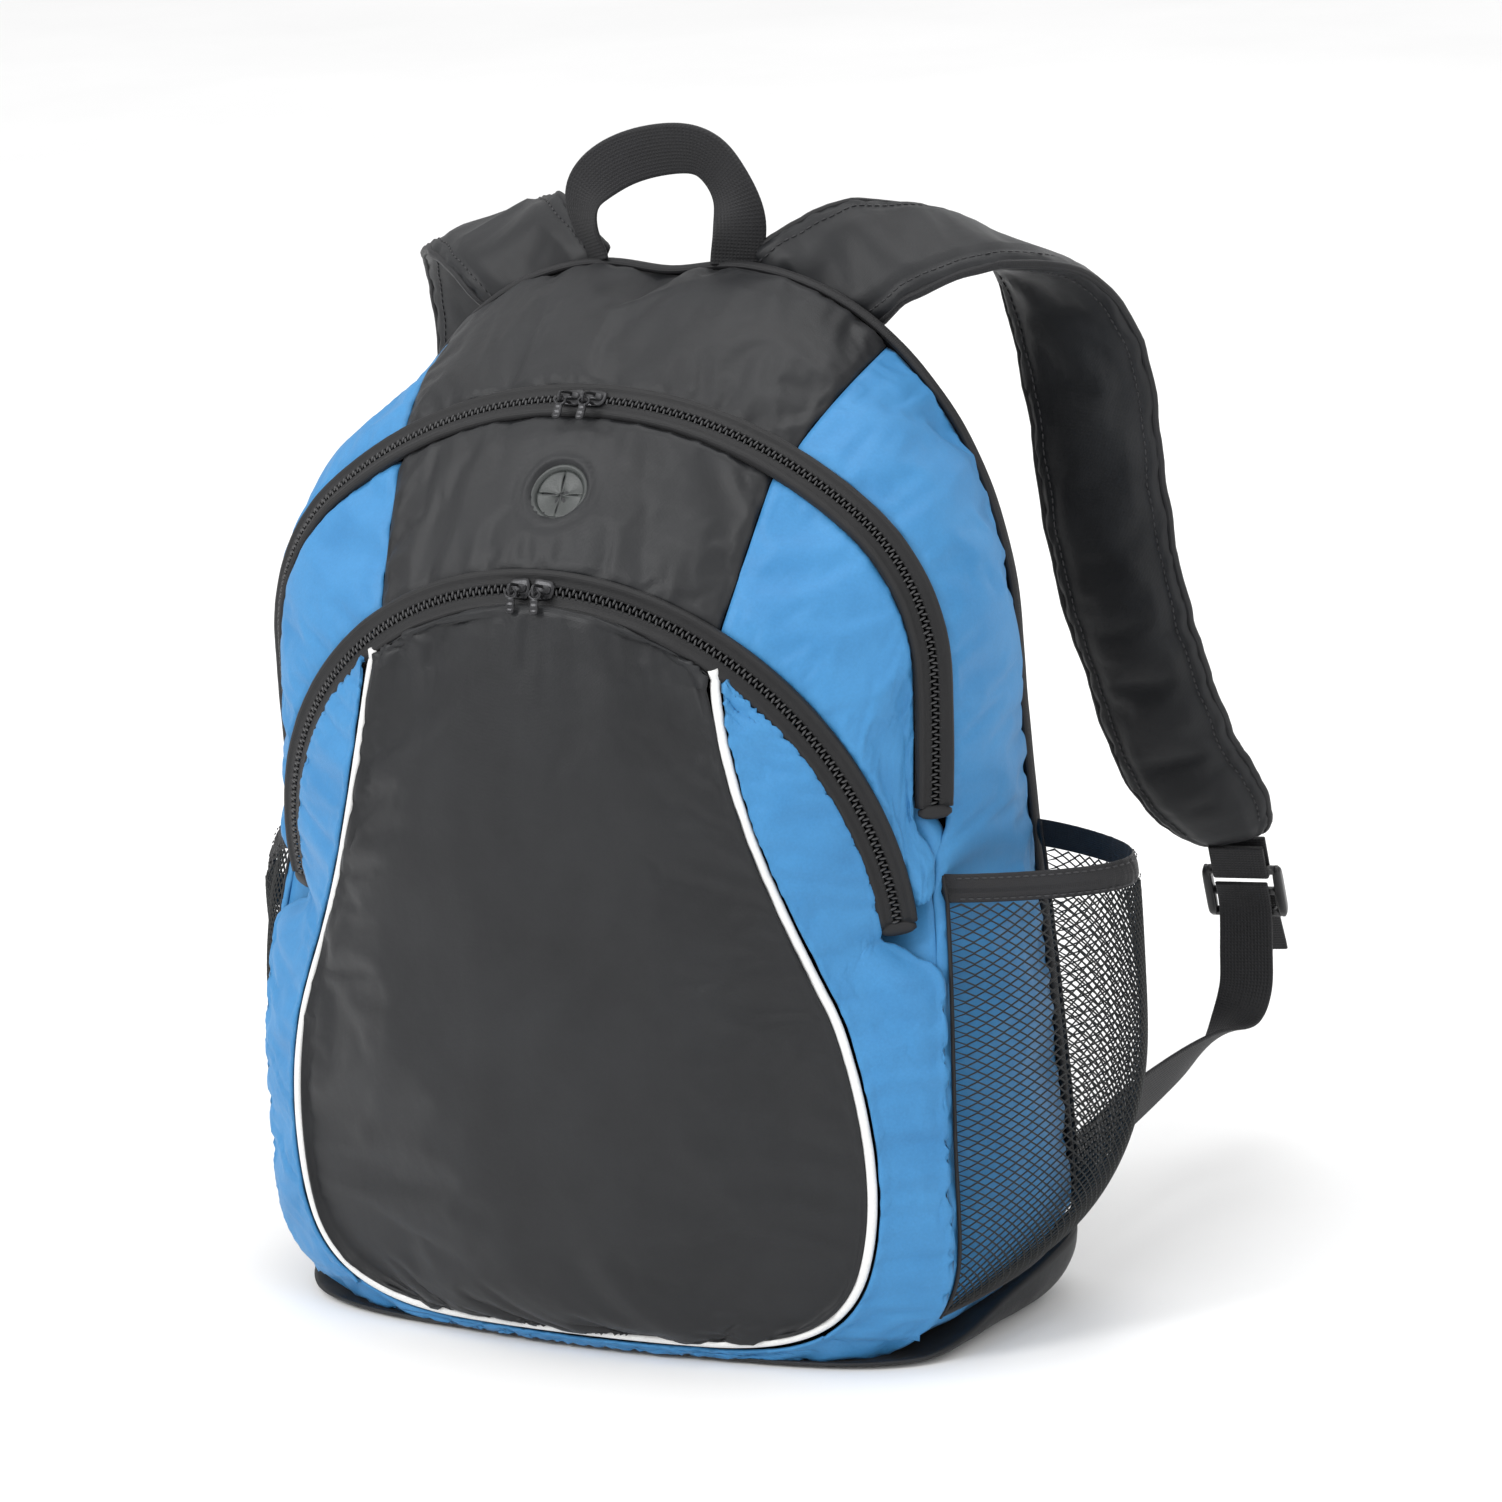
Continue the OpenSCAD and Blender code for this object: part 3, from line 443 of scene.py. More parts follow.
BINDING = cloth_material("elastic_binding", (0.007, 0.007, 0.008), (0.013, 0.013, 0.015), 0.9, weave=0.6,
                         rough=(0.45, 0.65))
SPACER = cloth_material("spacer_mesh", (0.010, 0.010, 0.012), (0.022, 0.022, 0.025), 2.2, weave=1.0, rough=(0.6, 0.8),
                        grain=0.5)
PIPING = cloth_material("white_piping", (0.74, 0.74, 0.73), (0.86, 0.86, 0.85), 0.5, rough=(0.35, 0.5), sheen=0.1,
                        grain=0.15)
THREAD = cloth_material("thread", (0.02, 0.02, 0.022), (0.04, 0.04, 0.043), 0.3, rough=(0.4, 0.55))
TEETH = solid_material("zip_teeth", (0.02, 0.02, 0.021), (0.035, 0.035, 0.037), (0.3, 0.45), 0.2)
SLIDER = solid_material("painted_slider", (0.02, 0.02, 0.022), (0.05, 0.05, 0.053), (0.25, 0.45), 0.25,
                        metallic=0.6)
RUBBER = solid_material("port_rubber", (0.030, 0.034, 0.033), (0.052, 0.058, 0.056), (0.35, 0.55), 0.35)
BUCKLE = solid_material("buckle_plastic", (0.006, 0.006, 0.007), (0.011, 0.011, 0.012), (0.25, 0.4), 0.3)
FLOOR = solid_material("pale_floor", (0.86, 0.86, 0.86), (0.9, 0.9, 0.9), (0.8, 0.9), 0.05, scale=2.0)


# ---- Mesh making ---------------------------------------------------------------------------
def make_object(name, points, faces, material, uvs=None):
    """points in millimetres, uvs one per point."""
    mesh = bpy.data.meshes.new(name)
    mesh.from_pydata((np.asarray(points, float) * MM).tolist(), [], [tuple(int(i) for i in f) for f in faces])
    if uvs is not None:
        layer = mesh.uv_layers.new(name="UVMap")
        loops = np.zeros(len(mesh.loops), int)
        mesh.loops.foreach_get("vertex_index", loops)
        layer.data.foreach_set("uv", (np.asarray(uvs)[loops] / 100).ravel())
    mesh.polygons.foreach_set("use_smooth", [True] * len(mesh.polygons))
    mesh.materials.append(material)
    ob = bpy.data.objects.new(name, mesh)
    bpy.context.scene.collection.objects.link(ob)
    return ob


def place(ob, body, slot, *nodes):
    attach(ob, body)
    if nodes:
        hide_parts(*nodes)
    return ob


def shell(name, g, thick, material):
    """A sheet with thickness: the grid outside, a copy inside and rolled rims between them."""
    m, n = g.shape[:2]
    inner = g - grid_normals(g) * thick
    u, w = arc_lengths(g)
    points = np.concatenate([g.reshape(-1, 3), inner.reshape(-1, 3)])
    uvs = np.stack([u.ravel(), w.ravel()], 1)
    faces = []
    half = m * n
    for j in range(m - 1):
        for i in range(n - 1):
            a = j * n + i
            faces.append((a, a + 1, a + n + 1, a + n))
            faces.append((half + a, half + a + n, half + a + n + 1, half + a + 1))
    for i in range(n - 1):
        a, b = i, (m - 1) * n + i
        faces.append((a + 1, a, half + a, half + a + 1))
        faces.append((b, b + 1, half + b + 1, half + b))
    for j in range(m - 1):
        a, b = j * n, j * n + n - 1
        faces.append((a, a + n, half + a + n, half + a))
        faces.append((b + n, b, half + b, half + b + n))
    return make_object(name, points, faces, material, np.concatenate([uvs, uvs]))


LEAST_SHARE = 0.3
SLENDER_SHARE = 0.5
LEAST_SIDE = 0.011


def sheet_facts(g):
    """The cut's width, length and area in metres, measured on the sewn pattern.

    A slender strip is therefore given a shorter rectangle of twice its area, and a zip tape, which is modelled 9
    mm wide, is given as 11 mm.
    """
    u, w = arc_lengths(g)
    width, length = u[:, -1].max() * MM, w[-1].max() * MM
    quads = np.linalg.norm(np.cross(g[1:, 1:] - g[:-1, :-1], g[:-1, 1:] - g[1:, :-1]), axis=2) / 2
    area = quads.sum() * MM * MM
    if area < LEAST_SHARE * width * length:
        length = area / width / SLENDER_SHARE
    length = max(length, LEAST_SIDE)
    return (round(width, 4), round(length, 4)), round(min(area, width * length), 5)


def stretched_sheet(pattern):
    flat, area = sheet_facts(pattern)


def skin_faces(m, k, base=0, loop=False, caps=True):
    """Quads over m rings of k points, capped at both ends; loop joins the last ring to the first instead."""
    faces = []
    for j in range(m if loop else m - 1):
        for i in range(k):
            here, below, beside = base + j * k, base + (j + 1) % m * k, (i + 1) % k
            faces.append((here + i, here + beside, below + beside, below + i))
    if caps and not loop:
        faces.append(tuple(base + i for i in range(k - 1, -1, -1)))
        faces.append(tuple(base + (m - 1) * k + i for i in range(k)))
    return faces


def tube(name, rings, material, closed_ends=True, loop=False):
    """A skin over rings of points; loop joins the last ring to the first."""
    rings = np.asarray(rings)
    m, k = rings.shape[:2]
    points = rings.reshape(-1, 3)
    faces = skin_faces(m, k, loop=loop, caps=closed_ends)
    around = np.concatenate([[0], np.cumsum(np.linalg.norm(np.diff(rings, axis=1), axis=2).mean(0))])
    down = np.concatenate([[0], np.cumsum(np.linalg.norm(np.diff(rings, axis=0), axis=2).mean(1))])
    uvs = np.stack(np.meshgrid(around, down), 2).reshape(-1, 2)
    return make_object(name, points, faces, material, uvs)


def strip_section(w, t, points=5):
    """A webbing section with rounded edges, as (across, up) pairs."""
    arc = np.linspace(-math.pi / 2, math.pi / 2, points)
    right = np.stack([w / 2 - t / 2 + np.cos(arc) * t / 2, np.sin(arc) * t / 2], 1)
    flat = np.linspace(w / 2 - t, -w / 2 + t, 9)
    top = np.stack([flat, np.full(9, t / 2)], 1)
    left = -right
    bottom = np.stack([-flat, np.full(9, -t / 2)], 1)
    return np.concatenate([right, top, left, bottom])


def sweep(route, sides, section):
    """Rings of a section carried along a route. section may be one array or one for each point."""
    along = unit(np.gradient(route, axis=0))
    up = unit(np.cross(along, sides))
    side = np.cross(up, along)
    section = np.asarray(section)
    if section.ndim == 2:
        section = np.broadcast_to(section, (len(route), *section.shape))
    return route[:, None] + side[:, None] * section[..., :1] + up[:, None] * section[..., 1:]


def beads(name, centres, runs, ups, size, material, rings=3, around=6):
    """Many small rounded bars, such as stitches or zip teeth. size is (length, width, height)."""
    centres, runs, ups = np.asarray(centres), unit(np.asarray(runs)), unit(np.asarray(ups))
    sides = unit(np.cross(runs, ups))
    ups = np.cross(sides, runs)
    a = circle(around)
    stations = np.linspace(-1, 1, rings + 2)
    shape = []
    for s in stations:
        r = math.sqrt(max(1 - abs(s) ** 3, 0.12))
        shape += [(s * size[0] / 2, math.cos(x) * r * size[1] / 2, math.sin(x) * r * size[2] / 2) for x in a]
    shape = np.array(shape)
    points = (centres[:, None] + runs[:, None] * shape[None, :, :1] + sides[:, None] * shape[None, :, 1:2]
              + ups[:, None] * shape[None, :, 2:])
    m, k = len(stations), around
    local = []
    for j in range(m - 1):
        for i in range(k):
            local.append((j * k + i, (j + 1) * k + i, (j + 1) * k + (i + 1) % k, j * k + (i + 1) % k))
    local.append(tuple(range(k)))
    local.append(tuple((m - 1) * k + i for i in range(k - 1, -1, -1)))
    faces = [tuple(i + b * m * k for i in f) for b in range(len(centres)) for f in local]
    return make_object(name, points.reshape(-1, 3), faces, material)


def resample(path, pitch):
    path = np.asarray(path)
    run = np.concatenate([[0], np.cumsum(np.linalg.norm(np.diff(path, axis=0), axis=1))])
    count = max(int(run[-1] / pitch), 1)
    at = (np.arange(count) + 0.5) * run[-1] / count
    return np.stack([np.interp(at, run, path[:, k]) for k in range(3)], 1)


def stitch_row(name, path, normal, pitch, lift, size):
    """Stitches along a path, lifted off it; normal has one direction for each point of the path."""
    centres = resample(path, pitch)
    nearest = [int(np.argmin(((path - c) ** 2).sum(1))) for c in centres]
    ups = normal[nearest]
    runs = np.gradient(centres, axis=0) if len(centres) > 1 else np.array([path[-1] - path[0]])
    return beads(name, centres + unit(ups) * lift, runs, ups, size, THREAD)


def stitches(name, path, normal, body, slot="stitching", pitch=3.6):
    """A row of stitches along a path; normal is one direction or one for each point of the path."""
    path = np.asarray(path)
    normal = np.broadcast_to(np.asarray(normal, float), path.shape)
    return place(stitch_row(name, path, normal, pitch, 0.15, (pitch * 0.7, 0.75, 0.6)), body, slot)


# ---- Camera, light and floor ---------------------------------------------------------------
CAMERA_TURN, CAMERA_RISE, CAMERA_ROLL = 27.44, 14.85, -3.67
CAMERA_TARGET = (0.06005, 0, 0.24628)
CAMERA_AWAY = 2.3309
FOCAL_PIXELS, IMAGE_PIXELS, SENSOR = 5599.8, 1502, 36


def set_stage():
    cam = bpy.data.objects.new("camera", bpy.data.cameras.new("camera"))
    bpy.context.scene.collection.objects.link(cam)
    az, el, roll = (math.radians(v) for v in (CAMERA_TURN, CAMERA_RISE, CAMERA_ROLL))
    back = Vector((math.sin(az) * math.cos(el), -math.cos(az) * math.cos(el), math.sin(el)))
    right = Vector((math.cos(az), math.sin(az), 0))
    up = back.cross(right)
    turned_right = right * math.cos(roll) + up * math.sin(roll)
    turned_up = up * math.cos(roll) - right * math.sin(roll)
    position = Vector(CAMERA_TARGET) + back * CAMERA_AWAY
    cam.matrix_world = Matrix((
        (turned_right.x, turned_up.x, back.x, position.x),
        (turned_right.y, turned_up.y, back.y, position.y),
        (turned_right.z, turned_up.z, back.z, position.z),
        (0, 0, 0, 1),
    ))
    cam.data.sensor_width = SENSOR
    cam.data.lens = SENSOR * FOCAL_PIXELS / IMAGE_PIXELS
    cam.data.clip_end = 50
    bpy.context.scene.camera = cam

    def area(name, location, aim, size, power):
        light = bpy.data.objects.new(name, bpy.data.lights.new(name, "AREA"))
        light.data.shape = "DISK"
        light.data.size = size
        light.data.energy = power
        light.location = location
        light.rotation_mode = "QUATERNION"
        light.rotation_quaternion = (Vector(aim) - Vector(location)).to_track_quat("-Z", "Y")
        bpy.context.scene.collection.objects.link(light)

    sky = bpy.data.objects.new("soft_sky", bpy.data.lights.new("soft_sky", "SUN"))
    sky.data.energy = 1.5
    sky.data.angle = math.radians(100)
    sky.rotation_euler = (math.radians(18), math.radians(-12), 0)
    bpy.context.scene.collection.objects.link(sky)
    area("key_light", (-1.3, -2.2, 2.1), (0, 0, 0.25), 0.9, 40)
    area("fill_light", (2.6, -1.4, 1.4), (0, 0, 0.25), 1.4, 16)
    area("top_light", (0.2, 0.4, 2.8), (0, 0, 0.3), 1.2, 14)
    area("rear_light", (0.6, 2.6, 1.5), (0, 0, 0.3), 1.4, 16)
    world = bpy.data.worlds.new("studio")
    bpy.context.scene.world = world
    world.use_nodes = True
    world.node_tree.nodes["Background"].inputs["Color"].default_value = (1, 1, 1, 1)
    world.node_tree.nodes["Background"].inputs["Strength"].default_value = 0.62
    bpy.context.scene.view_settings.view_transform = "Standard"
    a = circle(96)
    disc = [np.stack([np.cos(a) * r, np.sin(a) * r, np.full(96, -0.4)], 1) for r in (1, 1500, 9000)]
    floor = tube("floor", disc, FLOOR, closed_ends=False)


set_stage()


# ---- Fabric panels: patterns ---------------------------------------------------------------
def side_pattern():
    t = np.linspace(0, 1, 150)
    g = loft([side_front_point(u) for u in t], [back_side_point(u, BACK_Y - 3) for u in t], 40,
             lerp(5.0, 9.0, smooth(0, 0.2, t)))
    g = dent(g, (128, 52, 368), 4.5, (14, 6), (0.3, 0.6, 0.7))
    g = dent(g, (140, 30, 352), -2.5, (22, 7), (0.2, 0.9, 0.4))
    return dent(g, (158, 10, 200), 2.0, (60, 14), (0, 0.35, 1))


def top_pattern():
    k = np.linspace(-1, 1, 110)
    front = [rear_edge_point(q * (SPLIT_S - 0.3)) for q in k]
    back = []
    for q in k:
        p = bezier(BACK_TOP_CURVE, abs(q) * 0.995)
        sag = SAG_DEPTH * math.exp(-((p[0] / SAG_WIDTH) ** 2))
        back.append(vec(math.copysign(p[0], q), BACK_Y - 3, p[1] - sag))
    g = loft(front, back, 44, lerp(3.5, 5.0, smooth(0.5, 1, abs(k))))
    g = dent(g, (8, 52, 434), -3.0, (20, 5), (0.45, 0.85, 0.2))
    g = dent(g, (-3, 50, 432), 3.6, (18, 5), (0.5, 0.85, 0.2))
    g = dent(g, (-45, 30, 425), 2.0, (26, 9), (0.8, 0.6, 0.1))
    return dent(g, (-62, 8, 405), -1.8, (22, 8), (0.3, 0.8, 0.4))


CRESCENT_SPLIT = math.degrees(math.asin(80 / (POCKET_R + 7.5)))
UPPER_EDGE = (7.5, 3.3)


def crescent_side_pattern():
    t = np.linspace(0, 1, 104)
    low = [pocket_point(lerp(CRESCENT_SPLIT + 0.15, 89, u), *UPPER_EDGE) for u in t]
    high = [front_edge_point(lerp(SPLIT_S + 0.3, ARCH_LEN - 4, u)) for u in t]
    return loft(low, high, 30, lerp(0.5, 3.0, smooth(0, 0.25, t)))


PORT_AT = vec(0, -38, 361)
PORT_TILT = math.radians(52)
PORT_OUT = vec(0, -math.sin(PORT_TILT), math.cos(PORT_TILT))


def crescent_center_pattern():
    k = np.linspace(-1, 1, 96)
    low = [pocket_point(q * (CRESCENT_SPLIT - 0.15), *UPPER_EDGE) for q in k]
    high = [front_edge_point(q * (SPLIT_S - 0.3)) for q in k]
    g = loft(low, high, 36, lerp(-2.5, 0.5, smooth(0.6, 1, abs(k))))
    away = np.linalg.norm(g - PORT_AT, axis=2)
    h = -4.5 * (1 - smooth(10.5, 13.5, away)) - 0.9 * np.exp(-(((away - 17.5) / 1.6) ** 2))
    return g + grid_normals(g) * h[..., None]


def ring_pattern(start, end, count, rows):
    g = []
    for w in np.linspace(0, 1, rows):
        row = []
        for t in np.linspace(start, end, count):
            a, b = pear_offset(t, 2.5), face_outline(t)
            q = lerp(a, b, 1 - (1 - w) ** 1.6)
            row.append(face_point(q[0], max(q[1], FACE_LOW_Z)))
        g.append(row)
    return np.array(g)[:, ::-1]


def pocket_side_pattern():
    return ring_pattern(0.02, 0.803, 130, 30)


def bottom_band_pattern():
    right = ring_pattern(0.8035, 1, 60, 12)[:, ::-1]
    left = right[:, -2::-1] * vec(-1, 1, 1)
    return np.concatenate([right, left], axis=1)[:, ::-1]


def pocket_center_pattern():
    k = np.linspace(-1, 1, 96)
    rows = []
    for c in np.linspace(0, 1, 16)[:-1]:
        row = []
        for q in k:
            p = pocket_point(q * 35, EDGE_OUT, -5)
            row.append(face_point(lerp(p[0], q * 76.8, c), lerp(p[2] - 0.3, 290, c)))
        rows.append(row)
    for t in np.linspace(0.062, 0.897, 118):
        p = pear_offset(t, -2.1)
        rows.append([face_point(q * p[0], p[1]) for q in k])
    return np.array(rows)


def mirrored(g):
    return (g * vec(-1, 1, 1))[:, ::-1]


PANELS = []


def add_panel(name, pattern, seed, seams, nodes, material, slot, soft=1.3, thick=1.4, grow=0.02, press=0.35):
    dressed = dress(pattern, seed, seams, soft)
    PANELS.append({"name": name, "pattern": pattern, "grid": dressed, "nodes": nodes, "material": material,
                   "slot": slot, "thick": thick, "grow": grow, "press": press})


add_panel("top_fabric", top_pattern(), 1.5, {"t": (1.6, 16), "b": (2.4, 22), "l": (0.8, 8), "r": (0.8, 8)},
          ["top_panel"], BLACK, "black_polyester", 2.2)
add_panel("upper_front_center_fabric", crescent_center_pattern(), 5.1,
          {"t": (1.0, 14), "b": (1.4, 14), "l": (0.7, 7), "r": (0.7, 7)}, ["main_front_center"], BLACK,
          "black_polyester", 1.2)
for side_name, side_sign in SIDES:
    turned = (lambda g: g) if side_sign > 0 else mirrored
    seed_shift = 0 if side_sign > 0 else 31.7
    add_panel(f"side_fabric_{side_name}", turned(side_pattern()), 11.3 + seed_shift,
              {"t": (1.8, 18), "b": (2.2, 24), "l": (0.9, 9), "r": (0.9, 9)}, [f"side_panel_{side_name}"], BLUE,
              "blue_polyester", 2.0)
    add_panel(f"upper_front_fabric_{side_name}", turned(crescent_side_pattern()), 17.9 + seed_shift,
              {"t": (1.2, 12), "b": (1.3, 14), "l": (0.8, 8), "r": (0.8, 8)}, [f"main_front_{side_name}"], BLUE,
              "blue_polyester", 1.3)
    add_panel(f"pocket_fabric_{side_name}", turned(pocket_side_pattern()), 23.1 + seed_shift,
              {"t": (1.2, 12), "b": (1.8, 18), "l": (0.6, 8), "r": (0.6, 8)}, [f"pocket_side_{side_name}"], BLUE,
              "blue_polyester", 1.4)
add_panel("pocket_center_fabric", pocket_center_pattern(), 29.4,
          {"t": (2.4, 26), "b": (1.0, 14), "l": (1.1, 12), "r": (1.1, 12)}, ["pocket_center"], BLACK,
          "black_polyester", 1.5)
add_panel("pocket_bottom_fabric", bottom_band_pattern(), 37.7, {"t": (0.5, 6), "b": (0.6, 6)},
          ["pocket_bottom_band"], BLUE, "blue_polyester", 0.8)


# ---- Padded pieces: shoulder pads and back pads --------------------------------------------
PAD_ROUTE = (
    (52, 79.5, 419), (64, 82, 428), (90, 95, 441), (116, 124, 440), (135, 152, 421), (145, 168, 381),
    (150, 171, 325), (154, 178, 277), (159, 190, 238), (165, 205, 197), (176, 216, 172), (181.4, 226.6, 153),
)
PAD_SIDES = (
    (0.80, 0, -0.6), (0.82, 0, -0.57), (0.86, -0.2, -0.47), (0.86, -0.35, -0.3), (0.92, -0.22, -0.12),
    (0.96, 0.06, 0), (0.98, 0.06, 0), (0.99, 0.04, 0), (0.99, 0.05, 0), (0.98, 0.1, 0), (0.98, 0.14, 0),
    (0.98, 0.17, 0),
)
PAD_W = 57
PAD_T = 12
PAD_AROUND = 44


def pad_section(w, t, pinch):
    """A stuffed section: crowned faces, thin sewn edges and a stitched groove inside each edge."""
    a = circle(PAD_AROUND)
    x = np.sign(np.cos(a)) * np.abs(np.cos(a)) ** 0.8
    body = np.sign(np.sin(a)) * (1 - np.abs(x) ** 5) ** 0.6
    groove = 1 - pinch * np.exp(-(((np.abs(x) - 0.76) / 0.06) ** 2))
    return np.stack([x * w / 2, body * groove * t / 2], 1)


def strap_pad_rings(sign):
    route = spline(PAD_ROUTE, 12)
    sides = spline(PAD_SIDES, 12)
    last = len(route) - 1
    sections = []
    for i in range(len(route)):
        f = i / last
        tail = float(clamp01((f - 0.86) / 0.14))
        width = PAD_W * (1 - 0.5 * tail**2.2)
        thick = lerp(PAD_T, 5.5, tail**3) * lerp(0.55, 1, float(smooth(0, 0.06, f)))
        sections.append(pad_section(width, thick, 0.34))
    rings = sweep(route, sides, sections)
    u = np.arange(len(route))[:, None] * 4.2
    around = np.arange(PAD_AROUND)[None] * 3.0
    ripple = noise_at(u / 17, around / 30, 3.3 + sign) * 1.3 + noise_at(u / 6, around / 14, 9.1 + sign) * 0.35
    middle = rings.mean(axis=1, keepdims=True)
    rings = rings + unit(rings - middle) * ripple[..., None]
    return rings * vec(sign, 1, 1)


PADS = []


def add_pad(name, rings, pins, press):
    PADS.append({"name": name, "rings": rings, "pins": pins, "press": press})


edge_pins = [i for i in range(PAD_AROUND) if abs(abs(math.cos(2 * math.pi * i / PAD_AROUND)) ** 0.8 - 0.76) < 0.05
             or abs(math.cos(2 * math.pi * i / PAD_AROUND)) > 0.985]
for side_name, side_sign in SIDES:
    add_pad(f"shoulder_pad_{side_name}", strap_pad_rings(side_sign), edge_pins, 3.0)


def back_pad_rings(x0):
    """One upright foam column: rings stacked up the pad."""
    rings = []
    half, top, low = 40, 368, 72
    for z in np.linspace(low, top, 84):
        end = min(z - low, top - z)
        w = half - 13 * (1 - clamp01(end / 16)) ** 2
        depth = 6.6 * float(smooth(-3, 12, end)) + 0.4
        channel = 1 - 0.35 * sum(math.exp(-(((z - c) / 3.0) ** 2)) for c in (146, 220, 294))
        a = circle(36)
        x = np.sign(np.cos(a)) * np.abs(np.cos(a)) ** 0.7
        y = np.sin(a)
        swell = (1 - np.abs(x) ** 6) ** 0.5
        ys = np.where(y >= 0, depth * channel * swell, -0.2 * swell)
        rings.append(np.stack([x0 + x * w, BACK_Y + 0.3 + ys, np.full(36, z)], 1))
    return np.array(rings)


for pad_index, pad_x in enumerate((-92, 0, 92)):
    rings = back_pad_rings(pad_x)
    fixed = [i for i in range(36) if math.sin(2 * math.pi * i / 36) < 0.2]
    add_pad(f"back_pad_{pad_index}", rings, fixed, 2.0)


# ---- Cloth: everything settles in one run --------------------------------------------------
SIM_FRAMES = 20
PANEL_REACH = 4.0
PAD_REACH = 2.2
PANEL_STIFFNESS = 12
PAD_STIFFNESS = 15
PAD_GROWTH = 0.01


def cloth_object(name, points, faces, pins, grow, press, stiff):
    ob = make_object(name, points, faces, BLACK)
    group = ob.vertex_groups.new(name="pin")
    group.add([int(i) for i in pins], 1.0, "REPLACE")
    mod = ob.modifiers.new("Cloth", "CLOTH")
    s = mod.settings
    s.quality = 5
    s.mass = 0.2
    s.tension_stiffness = s.compression_stiffness = stiff
    s.shear_stiffness = stiff / 3
    s.bending_stiffness = 0.6
    s.vertex_group_mass = "pin"
    s.shrink_min = -grow
    s.use_pressure = True
    s.uniform_pressure_force = press
    s.effector_weights.gravity = 0
    mod.point_cache.frame_start, mod.point_cache.frame_end = 1, SIM_FRAMES
    return ob


def settle_everything():
    """Blender's cloth puckers the panels against their seams and swells the pads inside their stitching."""
    jobs = []
    for p in PANELS:
        m, n = p["grid"].shape[:2]
        faces = [(j * n + i, j * n + i + 1, (j + 1) * n + i + 1, (j + 1) * n + i)
                 for j in range(m - 1) for i in range(n - 1)]
        pins = [j * n + i for j in range(m) for i in range(n) if j in (0, m - 1) or i in (0, n - 1)]
        ob = cloth_object("sim_" + p["name"], p["grid"].reshape(-1, 3), faces, pins, p["grow"], p["press"],
                          PANEL_STIFFNESS)
        jobs.append((p, "grid", ob, PANEL_REACH))
    for p in PADS:
        m, k = p["rings"].shape[:2]
        faces = skin_faces(m, k, caps=False)
        pins = [j * k + i for j in range(m) for i in range(k) if i in p["pins"] or j in (0, 1, m - 2, m - 1)]
        ob = cloth_object("sim_" + p["name"], p["rings"].reshape(-1, 3), faces, pins, PAD_GROWTH, p["press"],
                          PAD_STIFFNESS)
        jobs.append((p, "rings", ob, PAD_REACH))
    scene = bpy.context.scene
    scene.frame_start, scene.frame_end = 1, SIM_FRAMES
    for f in range(1, SIM_FRAMES + 1):
        scene.frame_set(f)
    graph = bpy.context.evaluated_depsgraph_get()
    for p, key, ob, cap in jobs:
        mesh = ob.evaluated_get(graph).to_mesh()
        moved = np.zeros(len(mesh.vertices) * 3)
        mesh.vertices.foreach_get("co", moved)
        moved = moved.reshape(p[key].shape) / MM
        step = moved - p[key]
        length = np.linalg.norm(step, axis=2, keepdims=True)
        p[key] = p[key] + step * np.minimum(1, cap / np.maximum(length, 1e-9))
    for _, _, ob, _ in jobs:
        mesh = ob.data
        bpy.data.objects.remove(ob)
        bpy.data.meshes.remove(mesh)
    scene.frame_set(1)


settle_everything()

for panel in PANELS:
    ob = shell(panel["name"], panel["grid"], panel["thick"], panel["material"])
    place(ob, "pack", panel["slot"], *panel["nodes"])
    stretched_sheet(panel["pattern"])


# ---- Shoulder pads, with bound edges and stitching -----------------------------------------
PADS_BY_NAME = {p["name"]: p["rings"] for p in PADS}
PAD_ROOT = (0.066, 0.083, 0.430)
PAD_FREE = (0.122, 0.132, 0.437)


def flip(p, sign):
    return (p[0] * sign, p[1], p[2])


def blend_pad(ob, sign, side):
    flip(PAD_ROOT, sign)
    flip(PAD_FREE, sign)
    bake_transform(ob)


for side_name, side_sign in SIDES:
    rings = PADS_BY_NAME[f"shoulder_pad_{side_name}"]
    if side_sign < 0:
        rings = rings[:, ::-1]
    pad = tube(f"shoulder_pad_{side_name}", rings, STRAP)
    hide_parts(f"strap_pad_{side_name}")
    blend_pad(pad, side_sign, side_name)
    source = PADS_BY_NAME[f"shoulder_pad_{side_name}"]
    for edge_index, label in ((0, "outer"), (PAD_AROUND // 2, "inner")):
        line = source[:, edge_index]
        middle = source.mean(axis=1)
        outward = unit(line - middle)
        cord = []
        for p, o, along in zip(line, outward, unit(np.gradient(line, axis=0))):
            up = np.cross(along, o)
            a = circle(10)
            cord.append([p + o * (math.cos(x) * 1.7 - 0.4) + up * math.sin(x) * 2.0 for x in a])
        binding = tube(f"pad_binding_{label}_{side_name}", cord, BINDING)
        blend_pad(binding, side_sign, side_name)
    for groove_index, angle in enumerate((0.78, -0.78, math.pi - 0.78, math.pi + 0.78)):
        index = int(round((angle % (2 * math.pi)) / (2 * math.pi) * PAD_AROUND)) % PAD_AROUND
        line = source[2:-6, index]
        normal = unit(line - source.mean(axis=1)[2:-6]) * 0.2 + unit(
            np.cross(np.gradient(line, axis=0), source[2:-6, 0] - source[2:-6, PAD_AROUND // 2])
        ) * (1 if math.sin(angle) > 0 else -1) * side_sign
        row = stitch_row(f"pad_stitch_{groove_index}_{side_name}", line, normal, 3.6, 0.25, (2.5, 0.8, 0.7))
        blend_pad(row, side_sign, side_name)

for pad_index in range(3):
    pad = tube(f"back_pad_{pad_index}", PADS_BY_NAME[f"back_pad_{pad_index}"][:, ::-1], SPACER)
    place(pad, "pack", "spacer_mesh", *(["back_padding"] if pad_index == 0 else []))


